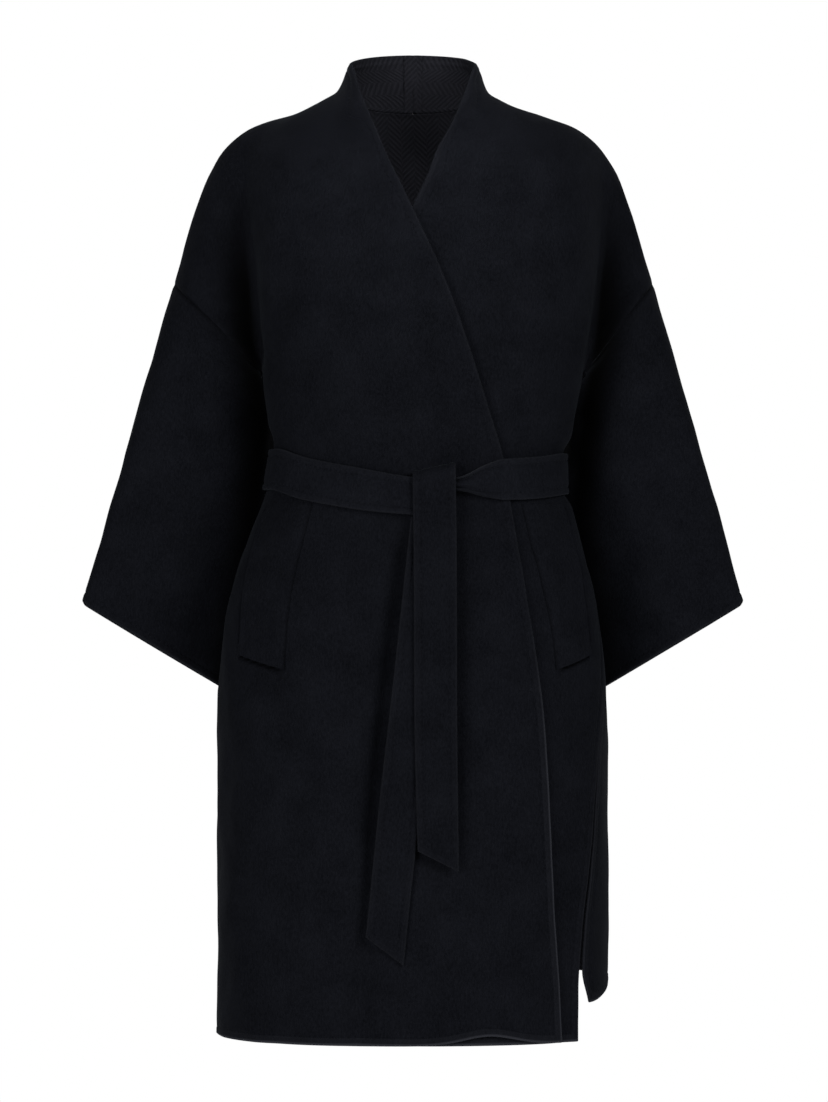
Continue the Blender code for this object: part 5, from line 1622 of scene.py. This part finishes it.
class COAT_OT_collar_seam(bpy.types.Operator):
    """Adds the flat felled seam inside the collar at the centre back"""

    bl_idname = "coat.collar_seam"
    bl_label = "Collar seam"

    def execute(self, context):
        cloth = context.scene.coat_cloth
        half = CUT["collar_seam"][0] / 2
        places = np.linspace(-half, half, FELL_STEPS + 1)
        shares = np.linspace(FELL_TOP, FELL_FOOT, FELL_ROWS + 1)
        grid = []
        for x in places:
            turn = np.arccos(abs(x) / COLLAR_HALF)
            top, foot = collar_ends(LEFT if x >= 0 else RIGHT, turn)
            line = top + (foot - top) * shares[:, None]
            line[:, 0] = x
            grid.append(line)
        grid = np.array(grid).transpose(1, 0, 2)
        numbers = numbered(grid)
        across, up = travel(grid, 1), travel(grid, 0)
        from_side = np.minimum(across, across[:, -1:] - across)
        free = np.minimum(from_side, np.minimum(up, up[-1] - up))
        one = sheet("collar_seam", grid.reshape(-1, 3), grid_faces(numbers), behind_collar, free=free.ravel(),
                    run=up.ravel(), across=across.ravel(), up=up.ravel(), rim=np.zeros(free.size),
                    shade=np.zeros(free.size))
        normals = shared_normals([one])[0]
        offset = cloth.wall / 2 + SEAM + FELL_WALL / 2
        raised = np.where(from_side.ravel() < FELL_RIDGE, FELL_HEIGHT, 0.0)
        points = one["points"] + normals * (offset + raised)[:, None]
        piece = shell("collar_seam_cloth", points, normals, one, FELL_WALL, (cloth_materials(cloth)[1],), 0)
        place_piece(piece, "collar_seam", False)
        return {"FINISHED"}


# Stage
def add_floor(context, studio):
    """A round of pale paper under the coat."""
    bpy.ops.object.select_all(action="DESELECT")
    bpy.ops.mesh.primitive_cylinder_add(
        vertices=FLOOR_SIDES, radius=studio.floor_radius, depth=FLOOR_THICK,
        location=(0.0, 0.0, studio.floor_height - FLOOR_THICK / 2))
    floor = context.object
    floor.name = "studio_floor"
    bpy.ops.object.transform_apply(location=True, rotation=True, scale=True)
    rounding = floor.modifiers.new("rounding", "BEVEL")
    rounding.width, rounding.segments = FLOOR_ROUND, FLOOR_ROUND_STEPS
    bpy.ops.object.modifier_apply(modifier=rounding.name)
    bpy.ops.object.shade_smooth_by_angle(angle=np.radians(FLOOR_ANGLE))
    material, tree, shader = new_material("studio_paper")
    place = add_node(tree, "ShaderNodeTexCoord").outputs["Object"]
    tone = ramp(tree, noise(tree, place, PAPER_SCALE, PAPER_GRAIN), PAPER_DARK, PAPER_LIGHT)
    tree.links.new(tone, shader.inputs["Base Color"])
    shader.inputs["Roughness"].default_value = PAPER_ROUGHNESS
    floor.data.materials.append(material)


def surround_world(studio):
    """A white surround that lights the coat more softly than it looks."""
    world = bpy.data.worlds.new("studio_surround")
    world.use_nodes = True
    tree = world.node_tree
    shown = tree.nodes["Background"]
    shown.inputs["Color"].default_value = WHITE
    shown.inputs["Strength"].default_value = 1.0
    glow = add_node(tree, "ShaderNodeBackground", [("Color", WHITE), ("Strength", studio.surround)])
    seen = add_node(tree, "ShaderNodeLightPath").outputs["Is Camera Ray"]
    both = add_node(tree, "ShaderNodeMixShader", [(0, seen), (1, glow.outputs[0]), (2, shown.outputs[0])])
    tree.links.new(both.outputs[0], tree.nodes["World Output"].inputs["Surface"])
    return world


def look_at(place, aim):
    """Turn of a light at a place that points it at an aim."""
    return (Vector(aim) - Vector(place)).to_track_quat("-Z", "Y").to_euler()


def add_lights(context, studio):
    """The soft lights round the coat and the one for its neck."""
    for name, kind, place, aim, size, power in LIGHTS:
        lamp = bpy.data.lights.new(name, kind)
        lamp.energy = power * studio.key
        if kind == "SPOT":
            lamp.spot_size, lamp.spot_blend, lamp.shadow_soft_size = size, 1.0, size
        else:
            lamp.shape, lamp.size = "DISK", size
        light = bpy.data.objects.new(name, lamp)
        light.location = place
        light.rotation_euler = look_at(place, aim)
        context.scene.collection.objects.link(light)


def add_camera(context, studio):
    """The camera, straight in front of the coat."""
    lens = bpy.data.cameras.new("camera")
    lens.sensor_fit = "VERTICAL"
    lens.sensor_height = SENSOR
    lens.lens = SENSOR * studio.camera_distance / FRAME_HEIGHT
    camera = bpy.data.objects.new("camera", lens)
    camera.location = (FRAME_CENTRE, -studio.camera_distance, studio.camera_height)
    camera.rotation_euler = (np.pi / 2, 0.0, 0.0)
    context.scene.collection.objects.link(camera)
    context.scene.camera = camera


class COAT_OT_stage(bpy.types.Operator):
    """Adds the pale floor, the soft light and the camera"""

    bl_idname = "coat.stage"
    bl_label = "Stage"

    def execute(self, context):
        studio = context.scene.coat_studio
        add_floor(context, studio)
        context.scene.world = surround_world(studio)
        add_lights(context, studio)
        add_camera(context, studio)
        context.scene.view_settings.view_transform = "Standard"
        return {"FINISHED"}


class COAT_PT_panel(bpy.types.Panel):
    """Sidebar panel with the coat's sizes, colours and pieces"""

    bl_idname = "COAT_PT_panel"
    bl_label = "Wool wrap coat"
    bl_space_type = "VIEW_3D"
    bl_region_type = "UI"
    bl_category = "Coat"

    def draw(self, context):
        for group in (context.scene.coat_cloth, context.scene.coat_studio):
            for name in group.__annotations__:
                self.layout.prop(group, name)
        for operator in OPERATORS:
            self.layout.operator(operator.bl_idname)


OPERATORS = (COAT_OT_back, COAT_OT_fronts, COAT_OT_sleeves, COAT_OT_welts, COAT_OT_belt, COAT_OT_collar_seam,
             COAT_OT_stage)
CLASSES = (CoatCloth, CoatStudio) + OPERATORS + (COAT_PT_panel,)


def register():
    """Makes the coat's classes and settings known."""
    for each in CLASSES:
        bpy.utils.register_class(each)
    bpy.types.Scene.coat_cloth = PointerProperty(type=CoatCloth)
    bpy.types.Scene.coat_studio = PointerProperty(type=CoatStudio)


def unregister():
    """Takes the coat's classes and settings out again."""
    del bpy.types.Scene.coat_cloth
    del bpy.types.Scene.coat_studio
    for each in reversed(CLASSES):
        bpy.utils.unregister_class(each)


def main():
    """Builds the coat and the studio."""
    register()
    bpy.ops.coat.back()
    bpy.ops.coat.fronts()
    bpy.ops.coat.sleeves()
    bpy.ops.coat.welts()
    bpy.ops.coat.belt()
    bpy.ops.coat.collar_seam()
    bpy.ops.coat.stage()
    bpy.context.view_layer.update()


if __name__ == "__main__":
    main()
